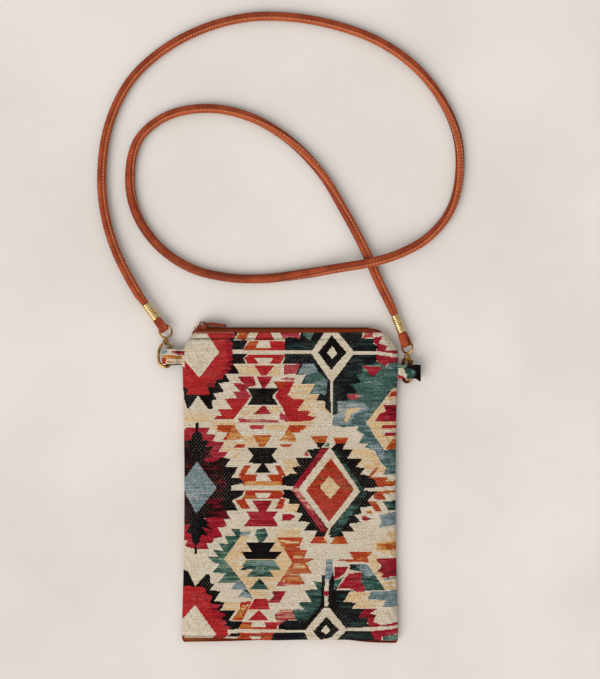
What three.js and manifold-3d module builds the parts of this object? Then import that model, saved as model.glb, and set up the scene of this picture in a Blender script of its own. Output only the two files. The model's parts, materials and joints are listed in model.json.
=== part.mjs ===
// A flat zip pouch of woven cloth on a long stitched leather cord, lying on its back.
// Millimetres. Z = 0 is the table, +Y points to the zip, the front panel faces +Z, and the
// origin is the middle of the back panel where it rests.
import * as THREE from 'three';
import { mergeVertices } from 'three/addons/utils/BufferGeometryUtils.js';
import Module from 'manifold-3d';

const wasm = await Module();
wasm.setup();

// Pouch
const BAG_WIDTH = 150;
const BAG_HEIGHT = 215.6; // bottom seam to zip seam
const BAG_THICKNESS = 10;
const SHOULDER_RUN = 8; // how far the sides slope in to the zip
const SHOULDER_DROP = 14; // where that slope starts, below the zip seam
const EDGE_ROLL = 12; // width of the band where the panels roll down to the seam
const SEAM_EDGE = 0.8; // upright edge at the side seam
const PANEL_THICKNESS = 1.2;
const LINING_THICKNESS = 0.6;
const LINING_SET_BACK = 2.5; // lining ends this far below the zip seam

// Gaps
const SEAM_GAP = 0.3; // between sewn or touching pieces
const RUN_GAP = 0.4; // between pieces that slide on each other
const PIN_GAP = 0.1; // rivet in its own holes
const PIVOT_GAP = 0.15; // lever on its rivet
const CUT_PAST = 1; // how far a cut runs past the face it opens

// Zip
const TAPE_THICKNESS = 0.6;
const TAPE_FLAT = 0.2; // tape seen flat before its bend
const TAPE_BEND = 2; // outside radius where a tape turns from the panel into the mouth
const TAPE_PAST = 0.5; // tape's left end past the corner of the mouth
const TAPE_SHORT = 1.2; // tape's right end short of the other corner
const TAPE_EDGE = 0.15; // tape edge set back from the coil's edge
const COIL_WIDTH = 1.5;
const COIL_HEIGHT = 1.4;
const COIL_SEAT = 0.2; // coil sewn on the tape's outer face
const COIL_SPLIT = 1.2; // room between the two coils for the slider's wedge
const STOP_LENGTH = 1.2;
const SLIDER_LENGTH = 8.4;
const SLIDER_SET_IN = 2.4; // slider's left end from the tape's end, with the zip shut
const SLIDER_WIDTH = 6;
const SLIDER_PLATE = 1;
const SLIDER_CORNER = 1.4;
const WEDGE_LENGTH = 2.7;
const WEDGE_INSET = 0.5;
const WEDGE_GAP = 0.25; // wedge to coil
const ZIP_TAIL = 10.1; // bare tape past the right end of the coils
const CROWN_LENGTH = 5.2;
const CROWN_WIDTH = 1.2;
const CROWN_WALL = 0.9;
const PULL_BAR_RADIUS = 0.55;
const PULL_ARM_WIDTH = 1;
const PULL_LENGTH = 16.4; // pivot to tip
const PULL_ARM_LENGTH = 4;
const PULL_WIDTH = 4.8;
const PULL_TIP_WIDTH = 3.8;
const PULL_HOLE_RADIUS = 1;

// Swivel clasps, in their own axes: x across the hook, y up the swivel, z through the hook
const RING_RADIUS = 4.35; // middle of the wire
const RING_WIRE = 0.8;
const RING_SEAT = 0.05; // ring's foot above the collar's lower face
const COLLAR_RADIUS = 1.3;
const COLLAR_HEIGHT = 0.9;
const POST_RADIUS = 0.8;
const POST_HEAD_RADIUS = 1.4;
const POST_HEAD_HEIGHT = 0.8;
const BARREL_RADIUS = 2.1;
const BARREL_LENGTH = 2.7;
const YOKE_THICKNESS = 3.2;
const YOKE_LEG = 2.1;
const YOKE_SHOULDER = 0.8; // yoke laps this far up the barrel
const YOKE_DROP = 4; // leg length below the barrel
const HOOK_WIRE = 1.1;
const HOOK_REACH = 4.8; // swivel axis to the fixed arm
const ARM_SWELL = 0.5; // how much nearer the axis the arm is beside the yoke
const BOW_RADIUS = 4.6;
const BOW_DROP = 14.8; // swivel collar to the middle of the bow
const TIP_RISE = 1.4; // hook tip above the middle of the bow
const GATE_THICKNESS = 1.4;
const GATE_WIDTH = 1.5;
const GATE_BOSS = 1.15;
const GATE_PIN_RADIUS = 0.6;
const PIVOT_OUT = 2.9; // swivel axis to the gate's rivet
const PIVOT_LIFT = 0.25; // gate boss above the end of the leg
const GATE_SPRING_WALL = 0.35;
const GATE_SPRING_LENGTH = 0.45;
const THUMB_REACH = 2.9;

// Tabs, strap ends and strap
const TAB_WIDTH = 9.6;
const TAB_CLOTH = 1.1;
const TAB_FLARE = 4.7; // seam to where the two layers stand fully apart
const TAB_THROAT = 2.2; // seam to where the two layers part
const TAB_SPLIT = 0.1; // half the gap where they part
const LOOP_WIDTH = 5.9;
const LOOP_LEATHER = 1.6;
const LOOP_EYE_RADIUS = 1.3;
const LOOP_EYE_SLACK = 1.2; // the eye is this much longer than round, for the ring's curve
const LOOP_REACH = 6.2; // ring wire to ferrule
const LOOP_CORE_RADIUS = 2.05; // leather squeezed together inside the ferrule
const FERRULE_LENGTH = 13.4;
const FERRULE_WALL = 0.45;
const FERRULE_RIB = 0.35;
const FERRULE_RIBS = 7;
const STRAP_DIAMETER = 6.4;
const STRAP_SIDES = 10;
const STRAP_STEPS = 80;
const STRAP_LEAD = 10; // straight run out of each ferrule

// Where the clasps hang: out from the side seam, down from the zip seam, and how they lie
const LEFT_CLASP = { out: 12, drop: 4.2, turn: 0, ringTurn: 0, wrap: 36, lead: 36, roll: 0 };
const RIGHT_CLASP = { out: 7, drop: 15, turn: -50, ringTurn: -35, wrap: 20, lead: 22, roll: -33 };
const TAB_BELOW_CLASP = 12; // swivel collar to the middle of the tab
const LEFT_TAB = { below: 3.7, above: 3.7, past: 2.7 }; // from the seam's level and the swivel
const RIGHT_TAB = { below: 1.55, above: 6.45, past: 9.4 };

// Strap route from the left ferrule to the right one, as it lies on the table.
// Points are measured from the middle of the zip seam; one strand humps over the other.
const STRAP_ROUTE = [
  [-122.3, 58, 3.6], [-130.2, 85.7, 3.4], [-132, 114.2, 3.4], [-126.8, 146.7, 3.4],
  [-112, 176.8, 3.4], [-88.5, 198.7, 3.4], [-60, 213.6, 3.4], [-30, 221.2, 3.4],
  [0, 221.4, 3.4], [30, 216.2, 3.4], [60, 205.5, 3.4], [86, 188.2, 3.4],
  [105.5, 164.7, 3.4], [117, 138.7, 3.4], [118.8, 111.2, 3.4], [112.5, 86.2, 3.5],
  [97, 67.2, 4.8], [76, 55.2, 8.1], [56, 49.2, 10.2], [34, 45.5, 8.3],
  [8, 41.4, 4.8], [-18, 38.2, 3.5], [-44, 39, 3.4], [-70, 45.7, 3.4],
  [-93, 61.7, 3.4], [-108, 84.2, 3.4], [-112.5, 109.2, 3.4], [-106.5, 135.2, 3.4],
  [-87, 151.8, 3.4], [-58, 157.4, 3.4], [-28, 151.4, 3.4], [0, 134.7, 3.4],
  [22.5, 111.2, 3.4], [38.5, 84.7, 3.4], [51.5, 60, 3.4], [61.5, 35.7, 3.5],
];

// Places worked out from the sizes above
const MIDDLE_Z = BAG_THICKNESS / 2;
const MOUTH_Y = BAG_HEIGHT / 2;
const TAPE_FACE_Y = MOUTH_Y + SEAM_GAP + TAPE_FLAT + TAPE_BEND;
const COIL_Y = TAPE_FACE_Y + COIL_SEAT;
const COIL_TOP_Y = COIL_Y + COIL_HEIGHT;
const OUTER_PLATE_Y = COIL_TOP_Y + SEAM_GAP;
const INNER_PLATE_Y = TAPE_FACE_Y - TAPE_THICKNESS - RUN_GAP - SLIDER_PLATE;
const PULL_AXIS_Y = OUTER_PLATE_Y + SLIDER_PLATE + RUN_GAP + PULL_BAR_RADIUS;
const MOUTH_HALF = BAG_WIDTH / 2 - SHOULDER_RUN;
const TAPE_LEFT = -MOUTH_HALF - TAPE_PAST;
const TAPE_RIGHT = MOUTH_HALF - TAPE_SHORT;
const SLIDER_LEFT = TAPE_LEFT + SLIDER_SET_IN; // with the zip shut
const COIL_LEFT = SLIDER_LEFT - SEAM_GAP;
const COIL_RIGHT = TAPE_RIGHT - ZIP_TAIL;
const RING_RISE = RING_RADIUS + RING_WIRE + RING_SEAT; // swivel collar to the ring's middle
const BARREL_END = SEAM_GAP + BARREL_LENGTH;
const YOKE_END = BARREL_END + YOKE_DROP;
const PIVOT = new THREE.Vector2(PIVOT_OUT, -YOKE_END + GATE_BOSS + PIVOT_LIFT);
const FERRULE_BORE = LOOP_CORE_RADIUS + SEAM_GAP;
const STRAP_START = LOOP_REACH + FERRULE_LENGTH + SEAM_GAP; // ring wire to the strap's cut end

const cloth = new THREE.MeshStandardMaterial({ color: 0xa8433a, roughness: 0.95 });
const backing = new THREE.MeshStandardMaterial({ color: 0xcdbfa6, roughness: 0.95 });
const rustTape = new THREE.MeshStandardMaterial({ color: 0x8a4426, roughness: 0.9 });
const rustEnamel = new THREE.MeshStandardMaterial({ color: 0x7c3b22, roughness: 0.45 });
const leather = new THREE.MeshStandardMaterial({ color: 0x9a4a2c, roughness: 0.6 });
const gold = new THREE.MeshStandardMaterial({ color: 0xd9b46a, roughness: 0.3, metalness: 1 });

// Solids for joining and cutting
function toSolid(geometry) {
  const bare = geometry.clone();
  bare.deleteAttribute('normal');
  bare.deleteAttribute('uv');
  const merged = mergeVertices(bare, 1e-4);
  return new wasm.Manifold(new wasm.Mesh({
    numProp: 3,
    vertProperties: new Float32Array(merged.attributes.position.array),
    triVerts: new Uint32Array(merged.index.array),
  }));
}

function toGeometry(solid) {
  const mesh = solid.getMesh();
  const geometry = new THREE.BufferGeometry();
  geometry.setAttribute('position', new THREE.BufferAttribute(new Float32Array(mesh.vertProperties), 3));
  geometry.setIndex(Array.from(mesh.triVerts));
  geometry.computeVertexNormals();
  return geometry;
}

function named(name, geometry, material) {
  const mesh = new THREE.Mesh(geometry, material);
  mesh.name = name;
  return mesh;
}

function box(low, high) {
  const size = high.map((value, axis) => value - low[axis]);
  const centre = high.map((value, axis) => (value + low[axis]) / 2);
  return new THREE.BoxGeometry(...size).translate(...centre);
}

function drum(radius, from, to, sides = 16) {
  return new THREE.CylinderGeometry(radius, radius, to - from, sides).translate(0, (from + to) / 2, 0);
}

// A drum along z, through a flat piece drawn in x and y
function crossDrum(radius, x, y, from, to, sides = 16) {
  return drum(radius, from, to, sides).rotateX(Math.PI / 2).translate(x, y, 0);
}

// A section drawn in y and z, run along x from one end to the other
function runAlongX(shape, from, to) {
  const geometry = new THREE.ExtrudeGeometry(shape, {
    depth: to - from, bevelEnabled: false, curveSegments: 6,
  });
  const turn = new THREE.Matrix4().makeBasis(
    new THREE.Vector3(0, 1, 0), new THREE.Vector3(0, 0, 1), new THREE.Vector3(1, 0, 0));
  return geometry.applyMatrix4(turn).translate(from, 0, 0);
}

// A section drawn in x and z, run along y about a middle
function runAlongY(shape, width, middle) {
  const geometry = new THREE.ExtrudeGeometry(shape, { depth: width, bevelEnabled: false, curveSegments: 8 });
  const turn = new THREE.Matrix4().makeBasis(
    new THREE.Vector3(1, 0, 0), new THREE.Vector3(0, 0, 1), new THREE.Vector3(0, -1, 0));
  return geometry.applyMatrix4(turn).translate(0, middle + width / 2, 0);
}

function circleShape(radius, sides) {
  const points = [];
  for (let side = 0; side < sides; side += 1) {
    const angle = (2 * Math.PI * side) / sides;
    points.push(new THREE.Vector2(radius * Math.cos(angle), radius * Math.sin(angle)));
  }
  return new THREE.Shape(points);
}

// The pouch's outline drawn in by an inset, running on past the mouth so that it can be cut there
function pouchOutline(inset) {
  const side = BAG_WIDTH / 2;
  const shoulder = MOUTH_Y - SHOULDER_DROP;
  const slope = Math.hypot(SHOULDER_RUN, SHOULDER_DROP);
  const across = SHOULDER_DROP / slope;
  const along = SHOULDER_RUN / slope;
  const top = MOUTH_Y + 2 * EDGE_ROLL;
  const cornerY = shoulder - (inset * (1 - across)) / along;
  const topX = side - (inset + (top - shoulder) * along) / across;
  const bottom = -MOUTH_Y + inset;
  return new THREE.Shape([
    new THREE.Vector2(-side + inset, bottom), new THREE.Vector2(side - inset, bottom),
    new THREE.Vector2(side - inset, cornerY), new THREE.Vector2(topX, top),
    new THREE.Vector2(-topX, top), new THREE.Vector2(-side + inset, cornerY),
  ]);
}

// A pillow of that outline, rolled at its edges to the seam at half height
function pillow(inset) {
  const roll = EDGE_ROLL - inset;
  const rise = MIDDLE_Z - inset - SEAM_EDGE / 2;
  const geometry = new THREE.ExtrudeGeometry(pouchOutline(inset), {
    depth: SEAM_EDGE, steps: 1, bevelEnabled: true, bevelThickness: rise, bevelSize: roll,
    bevelOffset: -roll, bevelSegments: 5,
  });
  return toSolid(geometry.translate(0, 0, inset + rise));
}

// One sewn layer of the pouch: a skin between two pillows, on one side of the seam
function pouchLayer(inset, thickness, upper, topY) {
  const far = BAG_WIDTH + BAG_HEIGHT;
  const low = upper ? MIDDLE_Z + SEAM_GAP / 2 : -BAG_THICKNESS;
  const high = upper ? 2 * BAG_THICKNESS : MIDDLE_Z - SEAM_GAP / 2;
  const half = toSolid(box([-far, -far, low], [far, topY, high]));
  return toGeometry(pillow(inset).subtract(pillow(inset + thickness)).intersect(half));
}

function pouchBody() {
  const group = new THREE.Group();
  const liningInset = PANEL_THICKNESS + SEAM_GAP;
  const liningTop = MOUTH_Y - LINING_SET_BACK;
  group.add(named('front_panel', pouchLayer(0, PANEL_THICKNESS, true, MOUTH_Y), cloth));
  group.add(named('back_panel', pouchLayer(0, PANEL_THICKNESS, false, MOUTH_Y), cloth));
  group.add(named('lining_front', pouchLayer(liningInset, LINING_THICKNESS, true, liningTop), backing));
  group.add(named('lining_back', pouchLayer(liningInset, LINING_THICKNESS, false, liningTop), backing));
  return group;
}

// One zip tape: flat behind its panel's edge, then bent round into the mouth; side is +1 or -1
function zipTape(side) {
  const outer = MIDDLE_Z - PANEL_THICKNESS / 2 + TAPE_THICKNESS / 2;
  const bendZ = outer - TAPE_BEND;
  const bendY = TAPE_FACE_Y - TAPE_BEND;
  const startY = MOUTH_Y + SEAM_GAP;
  const edge = COIL_SPLIT / 2 + TAPE_EDGE;
  const section = new THREE.Path();
  section.moveTo(startY, outer);
  section.lineTo(bendY, outer);
  section.absarc(bendY, bendZ, TAPE_BEND, Math.PI / 2, 0, true);
  section.lineTo(TAPE_FACE_Y, edge);
  section.lineTo(TAPE_FACE_Y - TAPE_THICKNESS, edge);
  section.absarc(bendY, bendZ, TAPE_BEND - TAPE_THICKNESS, 0, Math.PI / 2, false);
  section.lineTo(startY, outer - TAPE_THICKNESS);
  const points = section.getPoints(6).map((p) => new THREE.Vector2(p.x, MIDDLE_Z + side * p.y));
  return runAlongX(new THREE.Shape(points), TAPE_LEFT, TAPE_RIGHT);
}

// A bar on the mouth beside the zip's middle line, from one x to another
function coilBar(side, from, to) {
  const near = MIDDLE_Z + (side * COIL_SPLIT) / 2;
  const far = near + side * COIL_WIDTH;
  return box([from, COIL_Y, Math.min(near, far)], [to, COIL_TOP_Y, Math.max(near, far)]);
}

function zipChain() {
  const group = new THREE.Group();
  const stopFrom = COIL_LEFT - SEAM_GAP - STOP_LENGTH;
  for (const [half, side] of [['front', 1], ['back', -1]]) {
    group.add(named(`zip_tape_${half}`, zipTape(side), rustTape));
    group.add(named(`zip_coil_${half}`, coilBar(side, COIL_LEFT, COIL_RIGHT), rustTape));
    group.add(named(`zip_top_stop_${half}`, coilBar(side, stopFrom, stopFrom + STOP_LENGTH), rustEnamel));
  }
  const reach = COIL_SPLIT / 2 + COIL_WIDTH;
  const endFrom = COIL_RIGHT + SEAM_GAP;
  const bottomStop = box(
    [endFrom, COIL_Y, MIDDLE_Z - reach], [endFrom + STOP_LENGTH, COIL_TOP_Y, MIDDLE_Z + reach]);
  group.add(named('zip_bottom_stop', bottomStop, rustEnamel));
  return group;
}

// A slider plate: a round-cornered rectangle in x and z, standing on y from one face to the other
function sliderPlate(from) {
  const long = SLIDER_LENGTH / 2;
  const wide = SLIDER_WIDTH / 2;
  const shape = new THREE.Shape();
  const corners = [[long, wide], [-long, wide], [-long, -wide], [long, -wide]];
  corners.forEach(([x, z], index) => {
    const start = (index * Math.PI) / 2;
    const x0 = x - Math.sign(x) * SLIDER_CORNER;
    const z0 = z - Math.sign(z) * SLIDER_CORNER;
    shape.absarc(x0, z0, SLIDER_CORNER, start, start + Math.PI / 2, false);
  });
  return runAlongY(shape, SLIDER_PLATE, from + SLIDER_PLATE / 2);
}

// Slider: two plates joined by the wedge that parts the coils, edges that guide them, and a crown
function zipSlider() {
  const channel = COIL_SPLIT / 2 + COIL_WIDTH + RUN_GAP;
  const wide = SLIDER_WIDTH / 2;
  const wedge = COIL_SPLIT / 2 - WEDGE_GAP;
  const straight = SLIDER_LENGTH / 2 - SLIDER_CORNER;
  const crownFoot = OUTER_PLATE_Y + SLIDER_PLATE;
  const crownTop = PULL_AXIS_Y + PULL_BAR_RADIUS + SEAM_GAP;
  const crown = new THREE.Shape();
  crown.moveTo(-CROWN_LENGTH / 2, crownFoot - SLIDER_PLATE / 2);
  crown.lineTo(CROWN_LENGTH / 2, crownFoot - SLIDER_PLATE / 2);
  crown.lineTo(CROWN_LENGTH / 2, crownTop);
  crown.lineTo(CROWN_LENGTH / 2 - CROWN_WALL, crownTop + CROWN_WALL);
  crown.lineTo(-CROWN_LENGTH / 2 + CROWN_WALL, crownTop + CROWN_WALL);
  crown.lineTo(-CROWN_LENGTH / 2, crownTop);
  const eye = CROWN_LENGTH / 2 - CROWN_WALL;
  const crownSolid = toSolid(new THREE.ExtrudeGeometry(crown, { depth: CROWN_WIDTH, bevelEnabled: false })
    .translate(0, 0, -CROWN_WIDTH / 2));
  const crownEye = toSolid(box([-eye, crownFoot, -CROWN_WIDTH], [eye, crownTop, CROWN_WIDTH]));
  let body = toSolid(sliderPlate(OUTER_PLATE_Y)).add(toSolid(sliderPlate(INNER_PLATE_Y)));
  const wedgeBox = box(
    [-SLIDER_LENGTH / 2 + WEDGE_INSET, INNER_PLATE_Y + SLIDER_PLATE / 2, -wedge],
    [-SLIDER_LENGTH / 2 + WEDGE_INSET + WEDGE_LENGTH, crownFoot - SLIDER_PLATE / 2, wedge]);
  body = body.add(toSolid(wedgeBox));
  for (const side of [1, -1]) {
    const low = [-straight, TAPE_FACE_Y + RUN_GAP, side > 0 ? channel : -wide];
    const high = [straight, crownFoot - SLIDER_PLATE / 2, side > 0 ? wide : -channel];
    body = body.add(toSolid(box(low, high)));
  }
  return toGeometry(body.add(crownSolid.subtract(crownEye)));
}

// Pull: a bar through the crown, two arms past it, and a tapered tab with a hole near its tip
function zipPull() {
  const armIn = CROWN_WIDTH / 2 + SEAM_GAP;
  const armOut = armIn + PULL_ARM_WIDTH;
  const thin = PULL_BAR_RADIUS;
  const tab = new THREE.Shape([
    new THREE.Vector2(PULL_ARM_LENGTH, -PULL_WIDTH / 2),
    new THREE.Vector2(PULL_LENGTH - PULL_TIP_WIDTH / 2, -PULL_TIP_WIDTH / 2),
    new THREE.Vector2(PULL_LENGTH, -PULL_TIP_WIDTH / 4),
    new THREE.Vector2(PULL_LENGTH, PULL_TIP_WIDTH / 4),
    new THREE.Vector2(PULL_LENGTH - PULL_TIP_WIDTH / 2, PULL_TIP_WIDTH / 2),
    new THREE.Vector2(PULL_ARM_LENGTH, PULL_WIDTH / 2),
  ]);
  const hole = new THREE.Path();
  hole.absarc(PULL_LENGTH - PULL_TIP_WIDTH / 2, 0, PULL_HOLE_RADIUS, 0, 2 * Math.PI, true);
  tab.holes.push(hole);
  let pull = toSolid(runAlongY(tab, 2 * thin, 0));
  pull = pull.add(toSolid(crossDrum(PULL_BAR_RADIUS, 0, 0, -armOut, armOut, 12)));
  for (const side of [1, -1]) {
    const z = side > 0 ? [armIn, armOut] : [-armOut, -armIn];
    pull = pull.add(toSolid(box([0, -thin, z[0]], [PULL_ARM_LENGTH + thin, thin, z[1]])));
  }
  return toGeometry(pull);
}

// Swivel ring with its collar, post and riveted head
function swivelRing() {
  const ring = new THREE.TorusGeometry(RING_RADIUS, RING_WIRE, 8, 28).translate(0, RING_RISE, 0);
  const headTop = -BARREL_END - SEAM_GAP;
  const solid = toSolid(ring)
    .add(toSolid(drum(COLLAR_RADIUS, 0, COLLAR_HEIGHT)))
    .add(toSolid(drum(POST_RADIUS, headTop - POST_HEAD_HEIGHT / 2, COLLAR_HEIGHT)))
    .add(toSolid(drum(POST_HEAD_RADIUS, headTop - POST_HEAD_HEIGHT, headTop)));
  return toGeometry(solid);
}

// A bore through the clasp on the gate's pivot
function pivotDrum(radius) {
  return crossDrum(radius, PIVOT.x, PIVOT.y, -YOKE_THICKNESS, YOKE_THICKNESS);
}

// Hook: barrel for the post, a yoke of two legs, and a round arm that sweeps into the bow and tip
function claspHook() {
  const legIn = POST_HEAD_RADIUS + RUN_GAP;
  const legOut = legIn + YOKE_LEG;
  const shoulder = -BARREL_END + YOKE_SHOULDER;
  const yoke = new THREE.Shape([
    new THREE.Vector2(-legIn, shoulder), new THREE.Vector2(legIn, shoulder),
    new THREE.Vector2(legOut, -BARREL_END - YOKE_LEG / 2), new THREE.Vector2(legOut, -YOKE_END),
    new THREE.Vector2(legIn, -YOKE_END), new THREE.Vector2(legIn, -BARREL_END),
    new THREE.Vector2(-legIn, -BARREL_END), new THREE.Vector2(-legIn, -BARREL_END - YOKE_DROP / 2),
    new THREE.Vector2(-legOut, -BARREL_END - YOKE_DROP / 2),
    new THREE.Vector2(-legOut, -BARREL_END - YOKE_LEG / 2),
  ]);
  const path = [
    new THREE.Vector3(-legIn - YOKE_LEG / 2, -BARREL_END - YOKE_DROP / 4, 0),
    new THREE.Vector3(-HOOK_REACH + ARM_SWELL, -YOKE_END, 0),
    new THREE.Vector3(-HOOK_REACH, -BOW_DROP + BOW_RADIUS, 0),
  ];
  const bowX = BOW_RADIUS - HOOK_REACH;
  const bowSteps = 6;
  for (let step = 0; step <= bowSteps; step += 1) {
    const angle = Math.PI + (Math.PI * step) / bowSteps;
    const x = bowX + BOW_RADIUS * Math.cos(angle);
    path.push(new THREE.Vector3(x, -BOW_DROP + BOW_RADIUS * Math.sin(angle), 0));
  }
  path.push(new THREE.Vector3(bowX + BOW_RADIUS, -BOW_DROP + TIP_RISE, 0));
  const arm = new THREE.ExtrudeGeometry(circleShape(HOOK_WIRE, 8), {
    steps: 24, extrudePath: new THREE.CatmullRomCurve3(path), bevelEnabled: false,
  });
  const plate = new THREE.ExtrudeGeometry(yoke, { depth: YOKE_THICKNESS, bevelEnabled: false })
    .translate(0, 0, -YOKE_THICKNESS / 2);
  const slot = GATE_THICKNESS / 2 + GATE_SPRING_LENGTH / 2 + PIVOT_GAP;
  const slotTop = PIVOT.y + GATE_BOSS + PIVOT_GAP;
  const slotBox = box([legIn - CUT_PAST, -YOKE_END - CUT_PAST, -slot], [legOut + CUT_PAST, slotTop, slot]);
  const pinHole = pivotDrum(GATE_PIN_RADIUS + PIN_GAP);
  const solid = toSolid(drum(BARREL_RADIUS, -BARREL_END, -SEAM_GAP))
    .add(toSolid(plate)).add(toSolid(arm))
    .subtract(toSolid(drum(POST_RADIUS + SEAM_GAP, -BARREL_END - CUT_PAST, CUT_PAST)))
    .subtract(toSolid(slotBox)).subtract(toSolid(pinHole));
  return toGeometry(solid);
}

// Gate: the sprung lever that closes the hook, with its pivot boss and thumb nub
function claspGate() {
  const tip = new THREE.Vector2(BOW_RADIUS - HOOK_REACH + BOW_RADIUS, -BOW_DROP + TIP_RISE + SEAM_GAP);
  const half = GATE_WIDTH / 2;
  const lever = new THREE.Shape([
    new THREE.Vector2(PIVOT.x - GATE_BOSS, PIVOT.y), new THREE.Vector2(tip.x - half, tip.y),
    new THREE.Vector2(tip.x + half, tip.y), new THREE.Vector2(PIVOT.x + GATE_BOSS, PIVOT.y),
  ]);
  const nub = new THREE.Shape([
    new THREE.Vector2(PIVOT.x, PIVOT.y - half), new THREE.Vector2(PIVOT.x + THUMB_REACH, PIVOT.y + half / 2),
    new THREE.Vector2(PIVOT.x + THUMB_REACH, PIVOT.y + GATE_WIDTH),
    new THREE.Vector2(PIVOT.x + GATE_BOSS, PIVOT.y + half),
  ]);
  const low = -GATE_THICKNESS / 2 - GATE_SPRING_LENGTH / 2;
  const flat = (shape) => {
    const plate = new THREE.ExtrudeGeometry(shape, { depth: GATE_THICKNESS, bevelEnabled: false });
    return toSolid(plate.translate(0, 0, low));
  };
  const boss = toSolid(crossDrum(GATE_BOSS, PIVOT.x, PIVOT.y, low, low + GATE_THICKNESS));
  const bore = toSolid(pivotDrum(GATE_PIN_RADIUS + PIVOT_GAP));
  return toGeometry(flat(lever).add(flat(nub)).add(boss).subtract(bore));
}

// Gate spring: a flat coil on the rivet beside the lever
function gateSpring() {
  const inner = GATE_PIN_RADIUS + PIVOT_GAP;
  const outer = inner + GATE_SPRING_WALL;
  const from = GATE_THICKNESS / 2 - GATE_SPRING_LENGTH / 2 + PIN_GAP / 2;
  const to = from + GATE_SPRING_LENGTH;
  const ring = toSolid(crossDrum(outer, PIVOT.x, PIVOT.y, from, to));
  return toGeometry(ring.subtract(toSolid(pivotDrum(inner))));
}

function clasp(side, place, centreX) {
  const group = new THREE.Group();
  group.position.set(centreX, MOUTH_Y - place.drop, MIDDLE_Z);
  const ring = named(`swivel_ring_${side}`, swivelRing(), gold);
  ring.rotation.y = THREE.MathUtils.degToRad(place.ringTurn);
  const hook = new THREE.Group();
  hook.rotation.y = THREE.MathUtils.degToRad(place.turn);
  const pin = crossDrum(GATE_PIN_RADIUS, PIVOT.x, PIVOT.y, -YOKE_THICKNESS / 2, YOKE_THICKNESS / 2);
  hook.add(named(`clasp_hook_${side}`, claspHook(), gold));
  hook.add(named(`clasp_gate_${side}`, claspGate(), gold));
  hook.add(named(`gate_pin_${side}`, pin, gold));
  hook.add(named(`gate_spring_${side}`, gateSpring(), gold));
  group.add(ring, hook);
  return group;
}

// Cloth tab: a strip caught in the side seam and folded round the clasp; sign is -1 left, +1 right
function clothTab(sign, shape, place) {
  const seam = BAG_WIDTH / 2 + SEAM_GAP;
  const end = BAG_WIDTH / 2 + place.out + shape.past;
  const low = MIDDLE_Z - shape.below;
  const high = MIDDLE_Z + shape.above;
  const round = (high - low) / 2;
  const open = seam + TAB_FLARE;
  const throat = seam + TAB_THROAT;
  const loop = (inset, start, part) => {
    const path = new THREE.Path();
    path.moveTo(start, MIDDLE_Z - part);
    path.lineTo(open, low + inset);
    path.absarc(end - round, low + round, round - inset, -Math.PI / 2, Math.PI / 2, false);
    path.lineTo(open, high - inset);
    path.lineTo(start, MIDDLE_Z + part);
    const points = path.getPoints(8).map((p) => new THREE.Vector2(sign * p.x, p.y));
    return sign < 0 ? points.reverse() : points;
  };
  const outline = new THREE.Shape(loop(0, seam, TAB_CLOTH));
  outline.holes.push(new THREE.Path(loop(TAB_CLOTH, throat, TAB_SPLIT)));
  return runAlongY(outline, TAB_WIDTH, MOUTH_Y - place.drop - TAB_BELOW_CLASP);
}

// Leather loop round the ring, with both ends squeezed together where the ferrule holds them.
// Along x from the ring's wire, eye through y.
function strapLoop() {
  const outer = LOOP_EYE_RADIUS + LOOP_LEATHER;
  const shape = new THREE.Shape();
  shape.moveTo(LOOP_REACH, -LOOP_LEATHER);
  shape.lineTo(LOOP_REACH, LOOP_LEATHER);
  shape.lineTo(0, outer);
  shape.absarc(-LOOP_EYE_SLACK, 0, outer, Math.PI / 2, (3 * Math.PI) / 2, false);
  shape.lineTo(0, -outer);
  const eye = new THREE.Path();
  eye.moveTo(LOOP_REACH - LOOP_LEATHER, 0);
  eye.lineTo(0, -LOOP_EYE_RADIUS);
  eye.absarc(-LOOP_EYE_SLACK, 0, LOOP_EYE_RADIUS, (3 * Math.PI) / 2, Math.PI / 2, true);
  eye.lineTo(0, LOOP_EYE_RADIUS);
  shape.holes.push(eye);
  const core = drum(LOOP_CORE_RADIUS, LOOP_REACH - LOOP_LEATHER / 2, LOOP_REACH + FERRULE_LENGTH)
    .rotateZ(-Math.PI / 2);
  return toGeometry(toSolid(runAlongY(shape, LOOP_WIDTH, 0)).add(toSolid(core)));
}

// Ferrule: a crimped ribbed tube
function ferrule() {
  const from = LOOP_REACH + SEAM_GAP;
  const to = LOOP_REACH + FERRULE_LENGTH;
  const root = FERRULE_BORE + FERRULE_WALL;
  const pitch = (to - from) / FERRULE_RIBS;
  const profile = [new THREE.Vector2(FERRULE_BORE, from)];
  for (let rib = 0; rib < FERRULE_RIBS; rib += 1) {
    profile.push(new THREE.Vector2(root, from + rib * pitch));
    profile.push(new THREE.Vector2(root + FERRULE_RIB, from + (rib + 0.5) * pitch));
  }
  profile.push(new THREE.Vector2(root, to), new THREE.Vector2(FERRULE_BORE, to));
  profile.push(profile[0].clone());
  return new THREE.LatheGeometry(profile, 16).rotateZ(-Math.PI / 2);
}

// The place and heading of one strap end: at the ring's wire, pointing to the ferrule
function strapEnd(side, place, centreX) {
  const group = new THREE.Group();
  const wrap = THREE.MathUtils.degToRad(place.wrap);
  const wire = new THREE.Vector3(-RING_RADIUS * Math.sin(wrap), RING_RADIUS * Math.cos(wrap), 0);
  wire.applyAxisAngle(new THREE.Vector3(0, 1, 0), THREE.MathUtils.degToRad(place.ringTurn));
  group.position.set(centreX, MOUTH_Y - place.drop + RING_RISE, MIDDLE_Z).add(wire);
  group.rotation.order = 'ZYX';
  group.rotation.set(THREE.MathUtils.degToRad(place.roll), 0, THREE.MathUtils.degToRad(90 + place.lead));
  group.add(named(`strap_loop_${side}`, strapLoop(), leather));
  group.add(named(`ferrule_${side}`, ferrule(), gold));
  group.updateMatrix();
  return group;
}

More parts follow.
